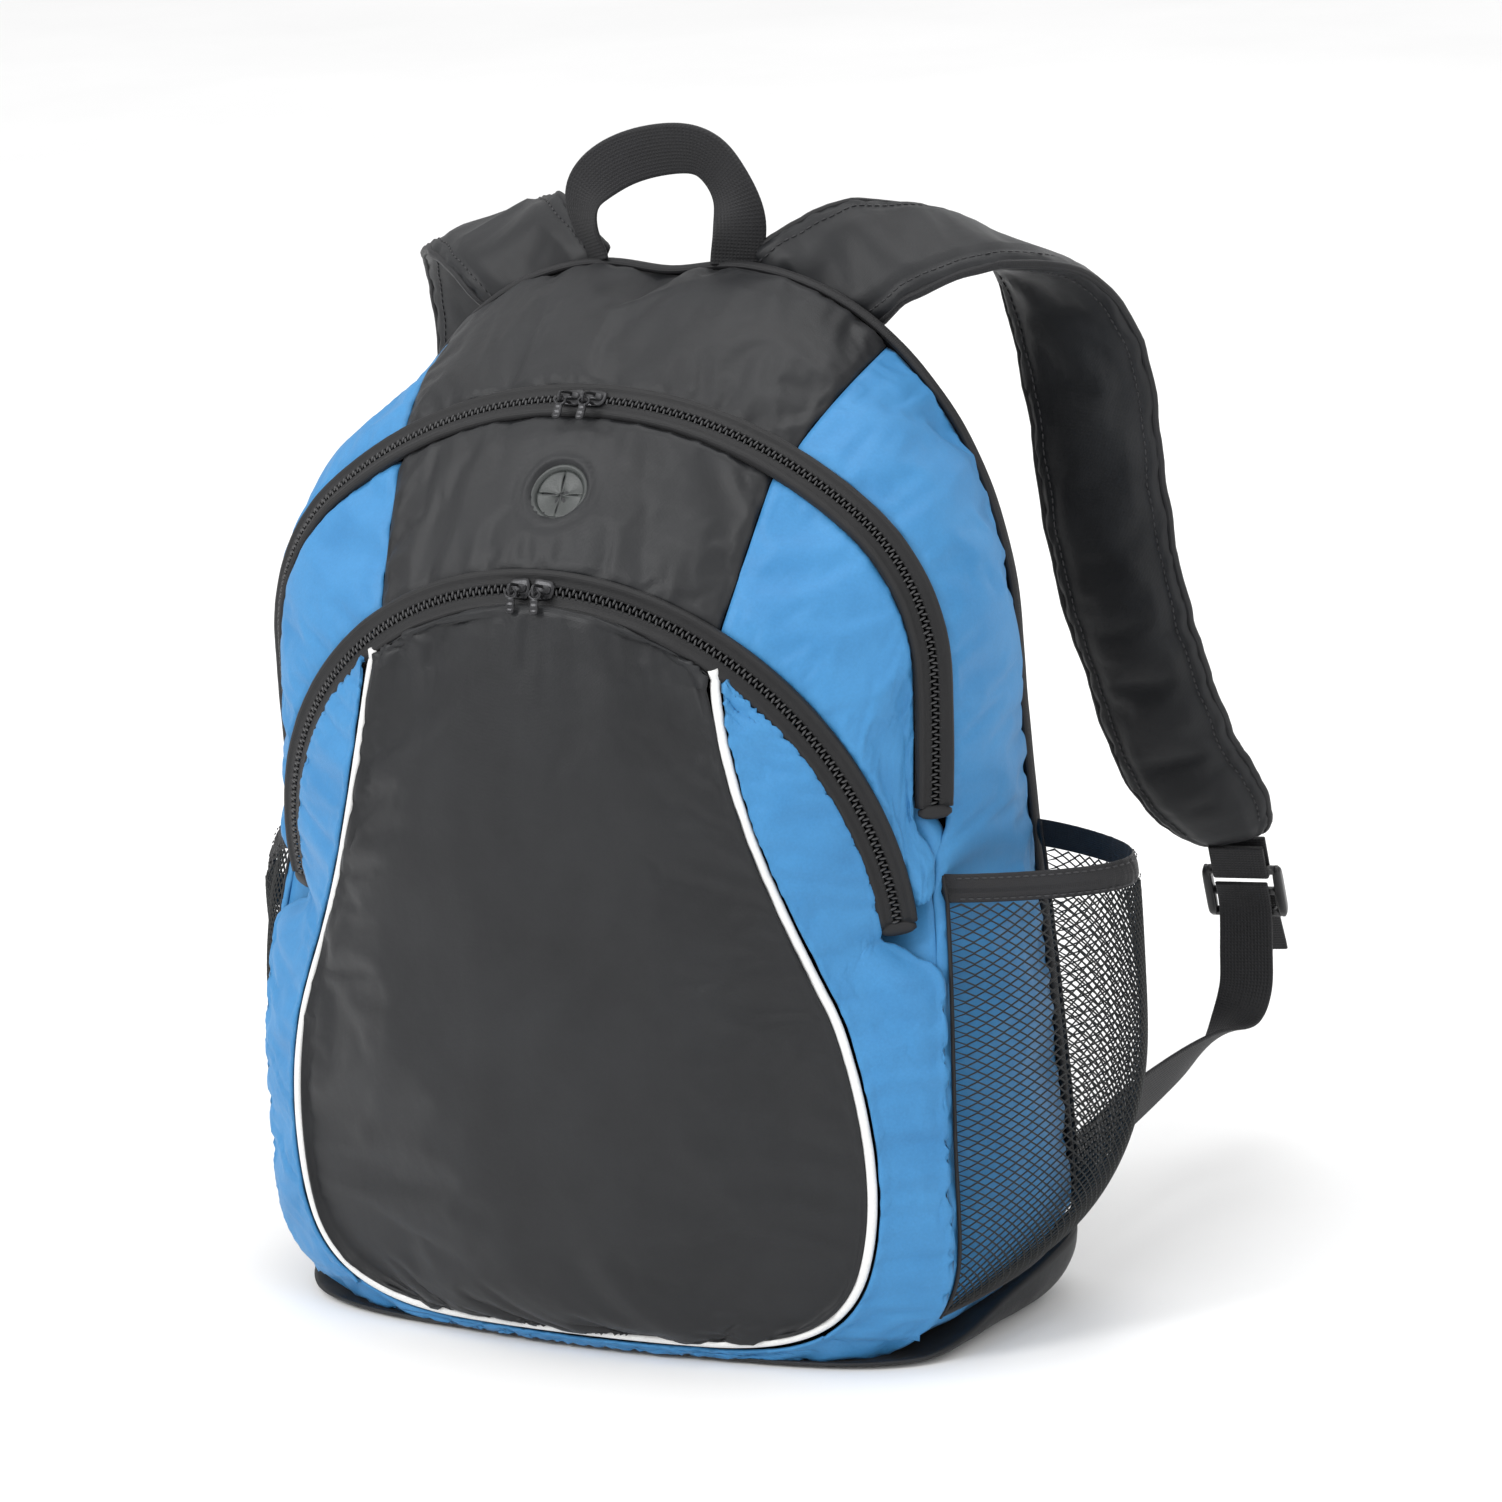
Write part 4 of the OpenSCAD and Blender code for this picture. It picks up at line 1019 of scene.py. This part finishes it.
# ---- Back panel, base pan and seam bindings ------------------------------------------------
def back_outline(n):
    half = [bezier(BACK_TOP_CURVE, t) for t in np.linspace(0, 1, n)]
    half += [bezier(BACK_ROUND_CURVE, t) for t in np.linspace(0, 1, n)[1:]]
    half += [bezier(BACK_SIDE_CURVE, t) for t in np.linspace(0, 1, n * 2)[1:]]
    return np.array(half)


def back_sag(x, z):
    return SAG_DEPTH * math.exp(-((x / SAG_WIDTH) ** 2)) * float(smooth(395, 440, z))


outline = back_outline(30)
rows = []
for x, z in outline[outline[:, 1] < 438.6]:
    rows.append([vec(x * q, BACK_Y - 1.0 * abs(q) ** 8, z - back_sag(x * q, z))
                 for q in np.linspace(1, -1, 70)])
back_grid = dress(np.array(rows), 41.0, {"t": (0.6, 10), "l": (0.8, 12), "r": (0.8, 12), "b": (0.8, 12)}, 0.8, 0.6)
back_fabric = shell("back_fabric", back_grid, 2.0, BLACK)
place(back_fabric, "pack", "black_polyester", "back_panel")
stretched_sheet(np.array(rows))


def cord_rings(path, radius, around=12, outward=None, squash=1.0):
    path = np.asarray(path)
    along = unit(np.gradient(path, axis=0))
    guide = np.broadcast_to(vec(0, 1, 0) if outward is None else outward, path.shape)
    side = unit(np.cross(along, guide))
    up = np.cross(side, along)
    a = circle(around)
    return (path[:, None] + side[:, None] * (np.cos(a)[None, :, None] * radius)
            + up[:, None] * (np.sin(a)[None, :, None] * radius * squash))


rim = np.concatenate([outline[::-1] * vec(-1, 1), outline[1:]])
rim = np.stack([rim[:, 0] * 1.003, np.full(len(rim), BACK_Y - 1.5), rim[:, 1] + 0.4], 1)
rim[:, 2] -= SAG_DEPTH * np.exp(-((rim[:, 0] / SAG_WIDTH) ** 2)) * (rim[:, 2] > 400)
wobble = noise_at(np.arange(len(rim)) / 5.0, 0.0, 0.0)
rim = rim + vec(0, 1, 0) * wobble[:, None] * 0.5
binding = tube("back_seam_binding", cord_rings(rim, 2.0, squash=1.5), BINDING)
place(binding, "pack", "elastic_binding")


def pan_ring(half, n):
    out = []
    for i in range(n):
        a = 2 * math.pi * i / n
        c, s = abs(math.cos(a)), abs(math.sin(a))
        power = 3.4 if math.sin(a) < 0 else 12
        r = (c**power + s**power) ** (-1 / power)
        y = 1 + half[1] * math.sin(a) * r
        out.append(vec(half[0] * math.cos(a) * r * (1 + 0.09 * float(smooth(-30, 60, y))), y, 0))
    return np.array(out)


def pan_rim_z(y):
    return 2.2 + (y + 68) * 0.04 if y < -44 else 3.16 + (y + 44) * 0.246


def base_pan():
    n = 220
    outer, sole = pan_ring((159, 69), n), pan_ring((146, 54), n) - vec(0, 6, 0)
    rim_z = np.array([pan_rim_z(y) for y in outer[:, 1]])
    centre = sole.mean(axis=0)
    rings = []
    for k in (0.02, 0.3, 0.6, 0.85, 0.97):
        ring = lerp(centre, sole, k)
        ring[:, 2] = 0
        rings.append(ring)
    for k in np.linspace(0, 1, 14):
        ring = lerp(sole, outer, math.sin(k * math.pi / 2) ** 0.9)
        ripple = noise_at(np.arange(n) / 6.0, k * 2, 0.5) * 0.7 * math.sin(k * math.pi)
        ring = ring + unit(outer - centre) * ripple[:, None]
        ring[:, 2] = np.maximum(rim_z * k**1.5, 0)
        rings.append(ring)
    inside = lerp(outer, centre, 0.012)
    inside[:, 2] = rim_z + 0.8
    rings.append(inside)
    for k in (0.03, 0.12, 0.5, 0.98):
        ring = lerp(outer, centre, k + 0.01)
        ring[:, 2] = np.minimum(rim_z, 2.0 + rim_z * (1 - k) ** 6)
        rings.append(ring)
    return np.array(rings)


def end_gusset():
    """The main front panel's fabric where it runs down behind both zips' ends."""
    rows = []
    for f in np.linspace(0, 1, 40):
        s = lerp(ZIP_END_S - 4, ARCH_LEN + 52, f)
        if s < ARCH_LEN:
            c = arch_point(s, 0, 0)
        else:
            z = SEAM_TOP - (s - ARCH_LEN)
            c = vec(seam_x(z), seam_y(z), z)
        deep = lerp(10, 2.6, float(smooth(ZIP_END_S + 1, ZIP_END_S + 16, s)))
        row = [c + vec(-deep, 10 - 2 * k, 0) for k in range(5)]
        row += [c + vec(-deep - 3 * k, 2.2 - 2.0 * math.sin(k / 14 * math.pi), 0) for k in range(1, 15)]
        rows.append(row)
    return np.array(rows)[:, ::-1]


for side_name, side_sign in SIDES:
    cut = end_gusset()
    cut = cut if side_sign > 0 else mirrored(cut)
    gusset = shell(f"zip_end_gusset_{side_name}", dress(cut, 51.0, {"t": (0.8, 10)}, 0.6, 0.2), 1.2, BLUE)
    place(gusset, "pack", "blue_polyester")
    stretched_sheet(cut)

pan = tube("base_fabric", base_pan()[:, ::-1], BLACK)
place(pan, "pack", "black_polyester", "base_panel")


# ---- White corded piping -------------------------------------------------------------------
def piping_path():
    half = np.array([face_point(*pear_outline(t)) for t in np.linspace(0.004, 1, 240)])
    whole = np.concatenate([half[:-1], (half * vec(-1, 1, 1))[::-1]])
    return whole + vec(0, -0.8, 0)


pipe_line = piping_path()
piping = tube("white_piping_cord", cord_rings(pipe_line, 2.1, 14), PIPING)
place(piping, "pack", "white_piping", "white_piping")


# ---- Zips ----------------------------------------------------------------------------------
TEETH_PITCH = 1.5
SLIDER_AT = 5.5


def turn(at, degrees, a, b):
    """A point of the zip's section as (out, back)."""
    c, s = math.cos(math.radians(degrees)), math.sin(math.radians(degrees))
    return at[0] + a * c - b * s, -(at[1] + a * s + b * c)


def main_zip(s, a, b):
    return arch_point(s, *turn((-4, -3), -50.2, a, b))


def pocket_zip(s, a, b):
    return pocket_point(math.degrees(s / POCKET_R), *turn((1, 1), -33.7, a, b))


ZIPS = (
    ("main", main_zip, ZIP_END_S, ("main_zip_tape_rear", "main_zip_tape_front"), "main_zip_coil"),
    ("pocket", pocket_zip, POCKET_R * math.radians(91), ("pocket_zip_tape_upper", "pocket_zip_tape_lower"),
     "pocket_zip_coil"),
)
TAPE_PROFILE = (
    (1.7, -0.1), (2.6, 0.05), (3.8, 0.1), (5.0, 0.35), (5.9, 1.0), (6.7, 1.25), (7.4, 0.8), (7.8, -0.2), (7.9, -1.4),
)


def build_zips():
    for name, at, half, tapes, coil in ZIPS:
        count = int(2 * half / 2.5)
        run = np.linspace(-half, half, count)
        for tape_side, tape_node in zip((1, -1), tapes):
            rows = []
            for k, (a, b) in enumerate(TAPE_PROFILE):
                wave = noise_at(run / 13, a / 3, 2.0 + tape_side) * 0.55 * (k / 8) * (1 - k / 12)
                wave = wave + noise_at(run / 4.5, a / 3, 5.0 + tape_side) * 0.16 * (k / 8)
                rows.append([at(s, tape_side * a, b + w) for s, w in zip(run, wave)])
            g = np.array(rows)
            if tape_side > 0:
                g = g[::-1]
            tape = shell(tape_node + "_fabric", g, 0.7, TAPE)
            place(tape, "pack", "zip_tape", tape_node)
            stretched_sheet(g)
            line = np.array([at(s, tape_side * 4.6, 0.35) for s in run])
            lifted = np.array([at(s, tape_side * 4.6, 1.35) for s in run])
            stitches(f"{tape_node}_stitch", line, lifted - line, "pack", pitch=3.4)
        places = np.arange(-half + 1, half - 1, TEETH_PITCH)
        centres, runs, ups = [], [], []
        for i, s in enumerate(places):
            for bite in (1, -1):
                if (i % 2 == 0) == (bite > 0):
                    centres.append(at(s, bite * 0.75, 0.55))
                    runs.append(at(s + 0.2 * bite, 1, 0.5) - at(s - 0.2 * bite, -1, 0.5))
                    ups.append(at(s, 0, 1.5) - at(s, 0, 0.5))
        teeth = beads(f"{name}_zip_teeth", centres, runs, ups, (3.4, 1.15, 1.7), TEETH)
        place(teeth, "pack", "zip_coil", coil)
        stops = []
        for end in (-1, 1):
            s = end * (half + 2.2)
            stops.append((at(s, 0, 0.4), at(s, 1, 0.4) - at(s, -1, 0.4), at(s, 0, 1.4) - at(s, 0, 0.4)))
        stop = beads(f"{name}_zip_end_stops", [p[0] for p in stops], [p[1] for p in stops],
                     [p[2] for p in stops], (15.0, 6.0, 2.8), BINDING, rings=7, around=16)
        place(stop, "pack", "stitching", *(["zip_end_stops"] if name == "main" else []))


build_zips()


def rounded_block(size, at, power=4, n=14):
    """A soft-edged block as rings in local (s, a, b), carried into place by at."""
    rings = []
    for k in np.linspace(-1, 1, n):
        shrink = max(1 - abs(k) ** power, 0.02) ** (1 / power)
        ring = []
        for x in circle(20):
            c, s = math.cos(x), math.sin(x)
            r = (abs(c) ** power + abs(s) ** power) ** (-1 / power)
            ring.append((k * size[0] / 2, c * r * shrink * size[1] / 2, s * r * shrink * size[2] / 2))
        rings.append(ring)
    return np.array([[at(*p) for p in ring] for ring in rings])


def joined(name, parts, material):
    """One object from several ring stacks."""
    points, faces = [], []
    for rings in parts:
        rings = np.asarray(rings)
        m, k = rings.shape[:2]
        faces += skin_faces(m, k, base=len(points))
        points += list(rings.reshape(-1, 3))
    ob = make_object(name, points, faces, material)
    mesh = ob.data
    bm = bmesh.new()
    bm.from_mesh(mesh)
    bmesh.ops.recalc_face_normals(bm, faces=bm.faces)
    bm.to_mesh(mesh)
    bm.free()
    return ob


PULLS = {"main": (vec(5.5, -22.6, 399.2), -38), "pocket": (vec(5.5, -75.8, 330.4), -14)}
PULL_L = 10


def build_sliders():
    for name, at, _, _, _ in ZIPS:
        for side_name, sign in SIDES:
            def local(s, a, b, sign=sign, at=at):
                return at(sign * (SLIDER_AT + s), a, 2.3 + b)

            wing = rounded_block((9.6, 8.4, 1.5), lambda s, a, b: local(s, a * (1 - 0.022 * s), b - 0.75))
            crown = rounded_block((7.4, 3.4, 1.3), lambda s, a, b: local(s, a, b + 0.75 - 0.05 * s * s))
            pivot, drop = PULLS[name]
            pivot = pivot * vec(sign, 1, 1)
            c, s = math.cos(math.radians(drop)), math.sin(math.radians(drop))
            down, out = vec(0, s, -c), vec(0, -c, -s)
            hook = [local(0, 1.2, 0.6)]
            hook += [pivot + down * p + out * q
                     for p, q in ((-1.9, 0.8), (0.1, 1.9), (1.7, 1.2), (1.7, -0.5), (0.5, -2.4))]
            hook.append(local(0, -3.2, -0.4))
            bail = cord_rings(spline(hook, 6), 0.65, 8, vec(1, 0, 0))
            slider = joined(f"{name}_slider_body_{side_name}", [wing, crown, bail], SLIDER)
            place(slider, f"{name}_runner_{side_name}", "zip_hardware", f"{name}_slider_{side_name}")

            def hung(x, y, z, pivot=pivot, c=c, s=s):
                return pivot + vec(x, y * c - z * s, y * s + z * c)

            loop = []
            for q in np.linspace(0, 2 * math.pi, 25):
                cx, cz = 2.4 * math.sin(q), -1.6 + 1.9 * math.cos(q)
                ox, oz = math.sin(q), math.cos(q)
                loop.append([hung(cx + ox * 0.6 * math.cos(p), 0.6 * math.sin(p), cz + oz * 0.6 * math.cos(p))
                             for p in circle(8)])
            tab = rounded_block((PULL_L - 3, 4.2, 1.5), lambda a, b, d: hung(
                b * (1 - 0.012 * (a + 9)), d * (1 + 0.25 * math.cos(a * 2.6)), -3 - (PULL_L - 3) / 2 + a))
            pull = joined(f"{name}_pull_tab_{side_name}", [loop, tab], SLIDER)
            place(pull, f"{name}_tab_{side_name}", "zip_hardware", f"{name}_pull_{side_name}")


build_sliders()


# ---- Headphone port ------------------------------------------------------------------------
def port_point(r, a, h):
    side, up = vec(1, 0, 0), np.cross(PORT_OUT, vec(1, 0, 0))
    return PORT_AT + (side * math.cos(a) + up * math.sin(a)) * r + PORT_OUT * h


def build_port():
    profile = ((10.4, 0.9), (10.6, 1.9), (11.3, 2.9), (12.3, 3.35), (13.1, 3.0), (13.6, 2.2), (14.4, 1.9), (15.2, 1.7),
               (15.5, 1.2), (15.4, 0.5), (13.5, 0.2), (11.0, 0.3))
    rings = [[port_point(r, a, h) for r, h in profile] for a in np.linspace(0, 2 * math.pi, 97)[:-1]]
    ring = tube("port_ring_rubber", rings, RUBBER, loop=True)
    place(ring, "pack", "port_rubber", "headphone_port_ring")
    flaps = []
    for q in range(4):
        a0 = math.pi / 4 + q * math.pi / 2
        rows = []
        for k in np.linspace(0, 1, 14):
            r = 0.9 + 9.7 * k
            span = math.pi / 4 - min(0.55 / r, 0.6) * (1 - 0.9 * float(smooth(0.72, 0.85, k)))
            curl = -1.2 * (1 - k) ** 1.5
            row = []
            for w in np.linspace(-1, 1, 15):
                lift = curl + 0.55 * abs(w) ** 3 * (1 - k) ** 0.5 + 0.3 * math.sin(q * 1.7 + w * 2)
                row.append(port_point(r, a0 + w * span, 1.5 + lift))
            rows.append(row)
        flaps.append(np.array(rows))
    for q, g in enumerate(flaps):
        flap = shell(f"port_flap_{q}", g[::-1], 0.9, RUBBER)
        place(flap, "pack", "port_rubber", *(["port_membrane"] if q == 0 else []))
    stitches("port_stitch", [port_point(17.4, a, 0.4) for a in np.linspace(0, 2 * math.pi, 90)], PORT_OUT, "pack",
             pitch=3.0)


build_port()


# ---- Bottle pockets: netting and elastic bindings ------------------------------------------
MESH_TOP = 193
BAND_H = 12


def back_x(z):
    return BACK_CORNER[0] - 11 * (max(z - BACK_CORNER[1], 0) / 194) ** 1.5


def mesh_point(w, z, bulge):
    low = lerp(22, 38, w)
    h = float(clamp01((z - low) / 150))
    fullness = 1 - (1 - h) ** 3.2 if bulge > 18 else h**1.5
    wave = math.sin(math.pi * w)
    swell = bulge * fullness * max(wave, 0) ** 0.75
    return vec(lerp(seam_x(z) + 2.8, back_x(z) + 3.5, w) + swell + 9 * wave, lerp(seam_y(z) + 4, 66, w), z)


def pocket_top(w, droop, lift=0.0):
    return MESH_TOP + lift - droop * math.sin(math.pi * w) ** 2


def pocket_surface(w, h, bulge, droop, wrinkle):
    """w across from the front seam, h up from the foot to the band."""
    z = lerp(lerp(22, 38, w), pocket_top(w, droop), h)
    p = mesh_point(w, z, bulge)
    if wrinkle:
        ripple = noise.noise((w * 9, h * 3, 4.4)) * wrinkle * (0.3 + h) * math.sin(math.pi * w)
        p = p + vec(ripple, 0, 0)
    return p


def build_net(name, bulge, droop, wrinkle, sign, node_name):
    """Diamond netting: crossed strands swept over the pocket's surface."""
    across, rise = 34, 40
    nodes, faces = {}, []

    def knot(i, j):
        if (i, j) not in nodes:
            nodes[(i, j)] = len(nodes)
            place_at = pocket_surface(i / (2 * across), j / (2 * rise), bulge, droop, wrinkle)
            points.append(place_at * vec(sign, 1, 1))
        return nodes[(i, j)]

    points = []
    for j in range(0, 2 * rise):
        for i in range(0, 2 * across):
            if (i + j) % 2 == 0 and 0 < i < 2 * across and 0 < j < 2 * rise:
                faces.append((knot(i - 1, j), knot(i, j - 1), knot(i + 1, j), knot(i, j + 1)))
    mesh = bpy.data.meshes.new(name)
    mesh.from_pydata((np.array(points) * MM).tolist(), [], faces)
    mesh.materials.append(MESH_NET)
    ob = bpy.data.objects.new(name, mesh)
    bpy.context.scene.collection.objects.link(ob)
    wire = ob.modifiers.new("wire", "WIREFRAME")
    wire.thickness = 1.05 * MM
    wire.use_even_offset = False
    wire.use_replace = True
    wire.use_boundary = True
    graph = bpy.context.evaluated_depsgraph_get()
    made = bpy.data.meshes.new_from_object(ob.evaluated_get(graph))
    ob.modifiers.clear()
    ob.data = made
    made.polygons.foreach_set("use_smooth", [True] * len(made.polygons))
    place(ob, "pack", "bottle_mesh", node_name)


def build_bottle_pockets():
    for side_name, sign in SIDES:
        bulge, droop, wrinkle = (53, 0, 1.2) if sign > 0 else (18, 36, 5.0)
        build_net(f"pocket_net_{side_name}", bulge, droop, wrinkle, sign, f"mesh_pocket_{side_name}")
        rings = []
        gather = 0.5 if sign > 0 else 1.6
        for w in np.linspace(0, 1, 150):
            low = pocket_top(w, droop, 0.6)
            ring = []
            for x in circle(20):
                hz = low + BAND_H / 2 + math.sin(x) * BAND_H / 2
                p = mesh_point(w, hz, bulge)
                thick = 1.5 + 0.4 * math.cos(2 * x)
                ruffle = noise.noise((w * 55, math.sin(x) * 0.8, 2.0)) * gather
                ring.append((p + vec(math.cos(x) * thick * 0.8 - 0.6 + ruffle, 0, 0)) * vec(sign, 1, 1))
            rings.append(ring)
        rings = np.array(rings)
        if sign < 0:
            rings = rings[:, ::-1]
        band = tube(f"pocket_binding_{side_name}", rings, BINDING)
        place(band, "pack", "elastic_binding", f"pocket_band_{side_name}")
        for label, level in (("low", 1.6), ("high", BAND_H - 1.8)):
            line = []
            for w in np.linspace(0.01, 0.99, 140):
                z = pocket_top(w, droop, 0.6) + level
                ruffle = noise.noise((w * 55, (level / BAND_H * 2 - 1) * 0.8, 2.0)) * gather
                line.append((mesh_point(w, z, bulge) + vec(0.9 + ruffle, 0, 0)) * vec(sign, 1, 1))
            stitches(f"pocket_binding_stitch_{label}_{side_name}", line, (sign, 0, 0), "pack", pitch=3.4)
        for label, w in (("front", 0.0), ("back", 1.0)):
            path = []
            for h in np.linspace(0, 1, 70):
                z = lerp(lerp(20, 36, w), MESH_TOP + BAND_H, h)
                path.append((mesh_point(w, z, bulge) + vec(0.3, 0, 0)) * vec(sign, 1, 1))
            edge = tube(f"pocket_edge_{label}_{side_name}", cord_rings(path, 0.9, 10), BINDING)
            place(edge, "pack", "elastic_binding")
        foot = [mesh_point(w, lerp(22, 38, w), bulge) * vec(sign, 1, 1) for w in np.linspace(0, 1, 80)]
        edge = tube(f"pocket_foot_{side_name}", cord_rings(foot, 1.5, 10), BINDING)
        place(edge, "pack", "elastic_binding")


build_bottle_pockets()

# ---- Handle, yoke, anchors and webbing -----------------------------------------------------
HANDLE_ROUTE = (
    (-37, 73.5, 437), (-38.5, 74, 443), (-42, 74, 453), (-43, 75, 467), (-25, 78, 480.7), (0, 78, 485.8),
    (14, 78, 484.6), (23, 78, 477.4), (31, 75, 465), (32.5, 74, 453.4), (30.5, 74, 443), (30, 73.5, 437),
)


def build_handle():
    route = spline(HANDLE_ROUTE, 9)
    last = len(route) - 1
    sides = []
    for i in range(last + 1):
        k = 2 * i / last - 1
        rise = math.cos(math.pi / 2 * abs(k) ** 0.8)
        sides.append(unit(vec(math.copysign(0.8 * (1 - rise), k), 0.6 * (1 - rise) - 0.2 * rise, rise)))
    rings = sweep(route, np.array(sides), strip_section(23, 2.2, 7))
    for _ in range(30):
        rings[1:-1] = rings[1:-1] * 0.5 + (rings[:-2] + rings[2:]) * 0.25
    handle = tube("grab_handle_webbing", rings, WEBBING)
    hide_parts("handle_webbing")
    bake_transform(handle)


build_handle()


def patch(name, corners, y, depth, material, slot, nodes, inset=3.0):
    """A sewn patch: a rounded outline, thick in the middle and thin at its turned edge, with a stitched border."""
    corners = np.array(corners, float)
    n = len(corners)
    path = []
    for i in range(n):
        before, here, after = corners[i - 1], corners[i], corners[(i + 1) % n]
        a, b = here + unit(before - here) * 4, here + unit(after - here) * 4
        for t in np.linspace(0, 1, 7):
            path.append((1 - t) ** 2 * a + 2 * t * (1 - t) * here + t * t * b)
        for t in np.linspace(0.1, 0.9, 9):
            path.append(lerp(b, after + unit(here - after) * 4, t))
    path = np.array(path)
    centre = path.mean(axis=0)
    rings = []
    for k, lift in ((1.0, 0.1), (1.0, depth * 0.7), (0.985, depth), (0.9, depth * 0.96), (0.6, depth), (0.02, depth)):
        p = lerp(centre, path, k)
        rings.append(np.stack([p[:, 0], np.full(len(p), y + lift), p[:, 1]], 1))
    ob = tube(name, rings, material)
    place(ob, "pack", slot, *nodes)
    border = lerp(centre, path, 1 - inset / np.linalg.norm(path - centre, axis=1)[:, None])
    line = np.stack([border[:, 0], np.full(len(border), y + depth), border[:, 1]], 1)
    stitches(name + "_stitch", np.concatenate([line, line[:1]]), (0, 1, 0), "pack", pitch=3.4)


patch("strap_yoke_patch", ((-100, 398), (-108, 376), (108, 376), (100, 398)), BACK_Y + 0.2, 2.8, BLACK,
      "black_polyester", ["strap_yoke"])
for side_name, side_sign in SIDES:
    shape = [(side_sign * x, z) for x, z in ((124, 40), (146, 35), (165, 34), (165, 57), (152, 64), (124, 70))]
    patch(f"anchor_patch_{side_name}", shape, BACK_Y + 0.6, 3.8, WEBBING, "webbing", [f"anchor_tab_{side_name}"])
tack_lines = [[vec(s * 60 + dx, BACK_Y + 3.9, z) for dx in np.linspace(-15, 15, 16)] for s in (-1, 1)
              for z in (381, 393)]
tacks = beads("bar_tack_stitches", np.concatenate(tack_lines), [(0, 0, 1)] * 64, [(0, 1, 0)] * 64, (3.0, 1.3, 1.0),
              THREAD)
place(tacks, "pack", "stitching", "bar_tacks")

LOWER_ROUTE = (
    (181.3, 233.6, 130.6), (180.2, 240, 117), (180, 239.5, 98), (180.5, 235, 80), (178, 224, 68), (171, 202, 61),
    (165, 172, 56), (162, 140, 53), (160, 108, 49), (160, 78, 46),
)
LOWER_SIDES = (
    (0.985, 0.17, 0), (0.985, 0.17, 0), (0.97, 0.24, 0), (0.96, 0.27, 0.05), (0.9, 0.3, 0.3), (0.6, 0.2, 0.75),
    (0.35, 0.1, 0.93), (0.2, 0, 0.98), (0.15, 0, 0.99), (0.1, 0, 1),
)
LOCK_AT = vec(180, 241, 125)


def lock_axes(sign):
    tilt, swing = math.radians(28), math.radians(10)
    x = vec(math.cos(swing), math.sin(swing), 0)
    y = vec(-math.sin(swing) * math.cos(tilt), math.cos(swing) * math.cos(tilt), math.sin(tilt))
    z = np.cross(x, y)
    flip_x = vec(sign, 1, 1)
    return LOCK_AT * flip_x, x * flip_x, y * flip_x, z * flip_x


def build_hardware():
    for side_name, sign in SIDES:
        body = f"strap_{side_name}"
        origin, ex, ey, ez = lock_axes(sign)

        def at(x, y, z, origin=origin, ex=ex, ey=ey, ez=ez):
            return origin + ex * x + ey * y + ez * z

        parts = []
        for s in (-1, 1):
            parts.append(rounded_block((30, 4.2, 5.2), lambda a, b, c, s=s: at(s * 16 + b, c, a), 5))
        for z, r in ((-13.1, 2.1), (0, 1.9), (13.1, 2.1)):
            parts.append([[at(x, r * 1.1 * math.sin(q), z + r * math.cos(q))
                           for q in circle(18)] for x in np.linspace(-15, 15, 9)])
        lock = joined(f"ladder_lock_frame_{side_name}", parts, BUCKLE)
        place(lock, body, "buckle_plastic", f"ladder_lock_{side_name}")

        loop_path = [(-3.2, 30), (-3.2, 22), (-3.2, 14)]
        loop_path += [(3.2 * math.sin(q), 13.1 - 3.2 * -math.cos(q) * -1) for q in np.linspace(-1.4, 1.4, 9)]
        loop_path += [(3.2, 14), (3.2, 22), (3.2, 30)]
        route = np.array([at(0, y, z) for y, z in loop_path])
        rings = sweep(spline(route, 4), np.array([ex] * (4 * (len(route) - 1) + 1)), strip_section(25, 1.7))
        loop = tube(f"buckle_loop_webbing_{side_name}", rings, WEBBING)
        place(loop, body, "webbing", f"buckle_loop_{side_name}")

        tail = spline([at(0, 3.9, -2), at(0, 4.2, -12), at(0.4, 4.6, -24), at(1, 4.4, -36), at(1.2, 4.2, -41)], 6)
        rings = sweep(tail, np.array([ex] * len(tail)), strip_section(25, 1.7))
        tail_ob = tube(f"webbing_tail_strap_{side_name}", rings, WEBBING)
        place(tail_ob, body, "webbing", f"webbing_tail_{side_name}")

        route = spline(LOWER_ROUTE, 10) * vec(sign, 1, 1)
        sides = spline(LOWER_SIDES, 10) * vec(sign, 1, 1)
        rings = sweep(route, sides, strip_section(24, 1.7))
        if sign < 0:
            rings = rings[:, ::-1]
        lower = tube(f"lower_webbing_strap_{side_name}", rings, WEBBING)
        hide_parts(f"lower_webbing_{side_name}")
        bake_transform(lower)


build_hardware()

# ---- CAD nodes that stay, inside the pack --------------------------------------------------
for node_name, material in (("pocket_back_wall", BLACK), ("port_backing_washer", RUBBER)):
    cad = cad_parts[node_name]
    cad.data.materials.clear()
    cad.data.materials.append(material)
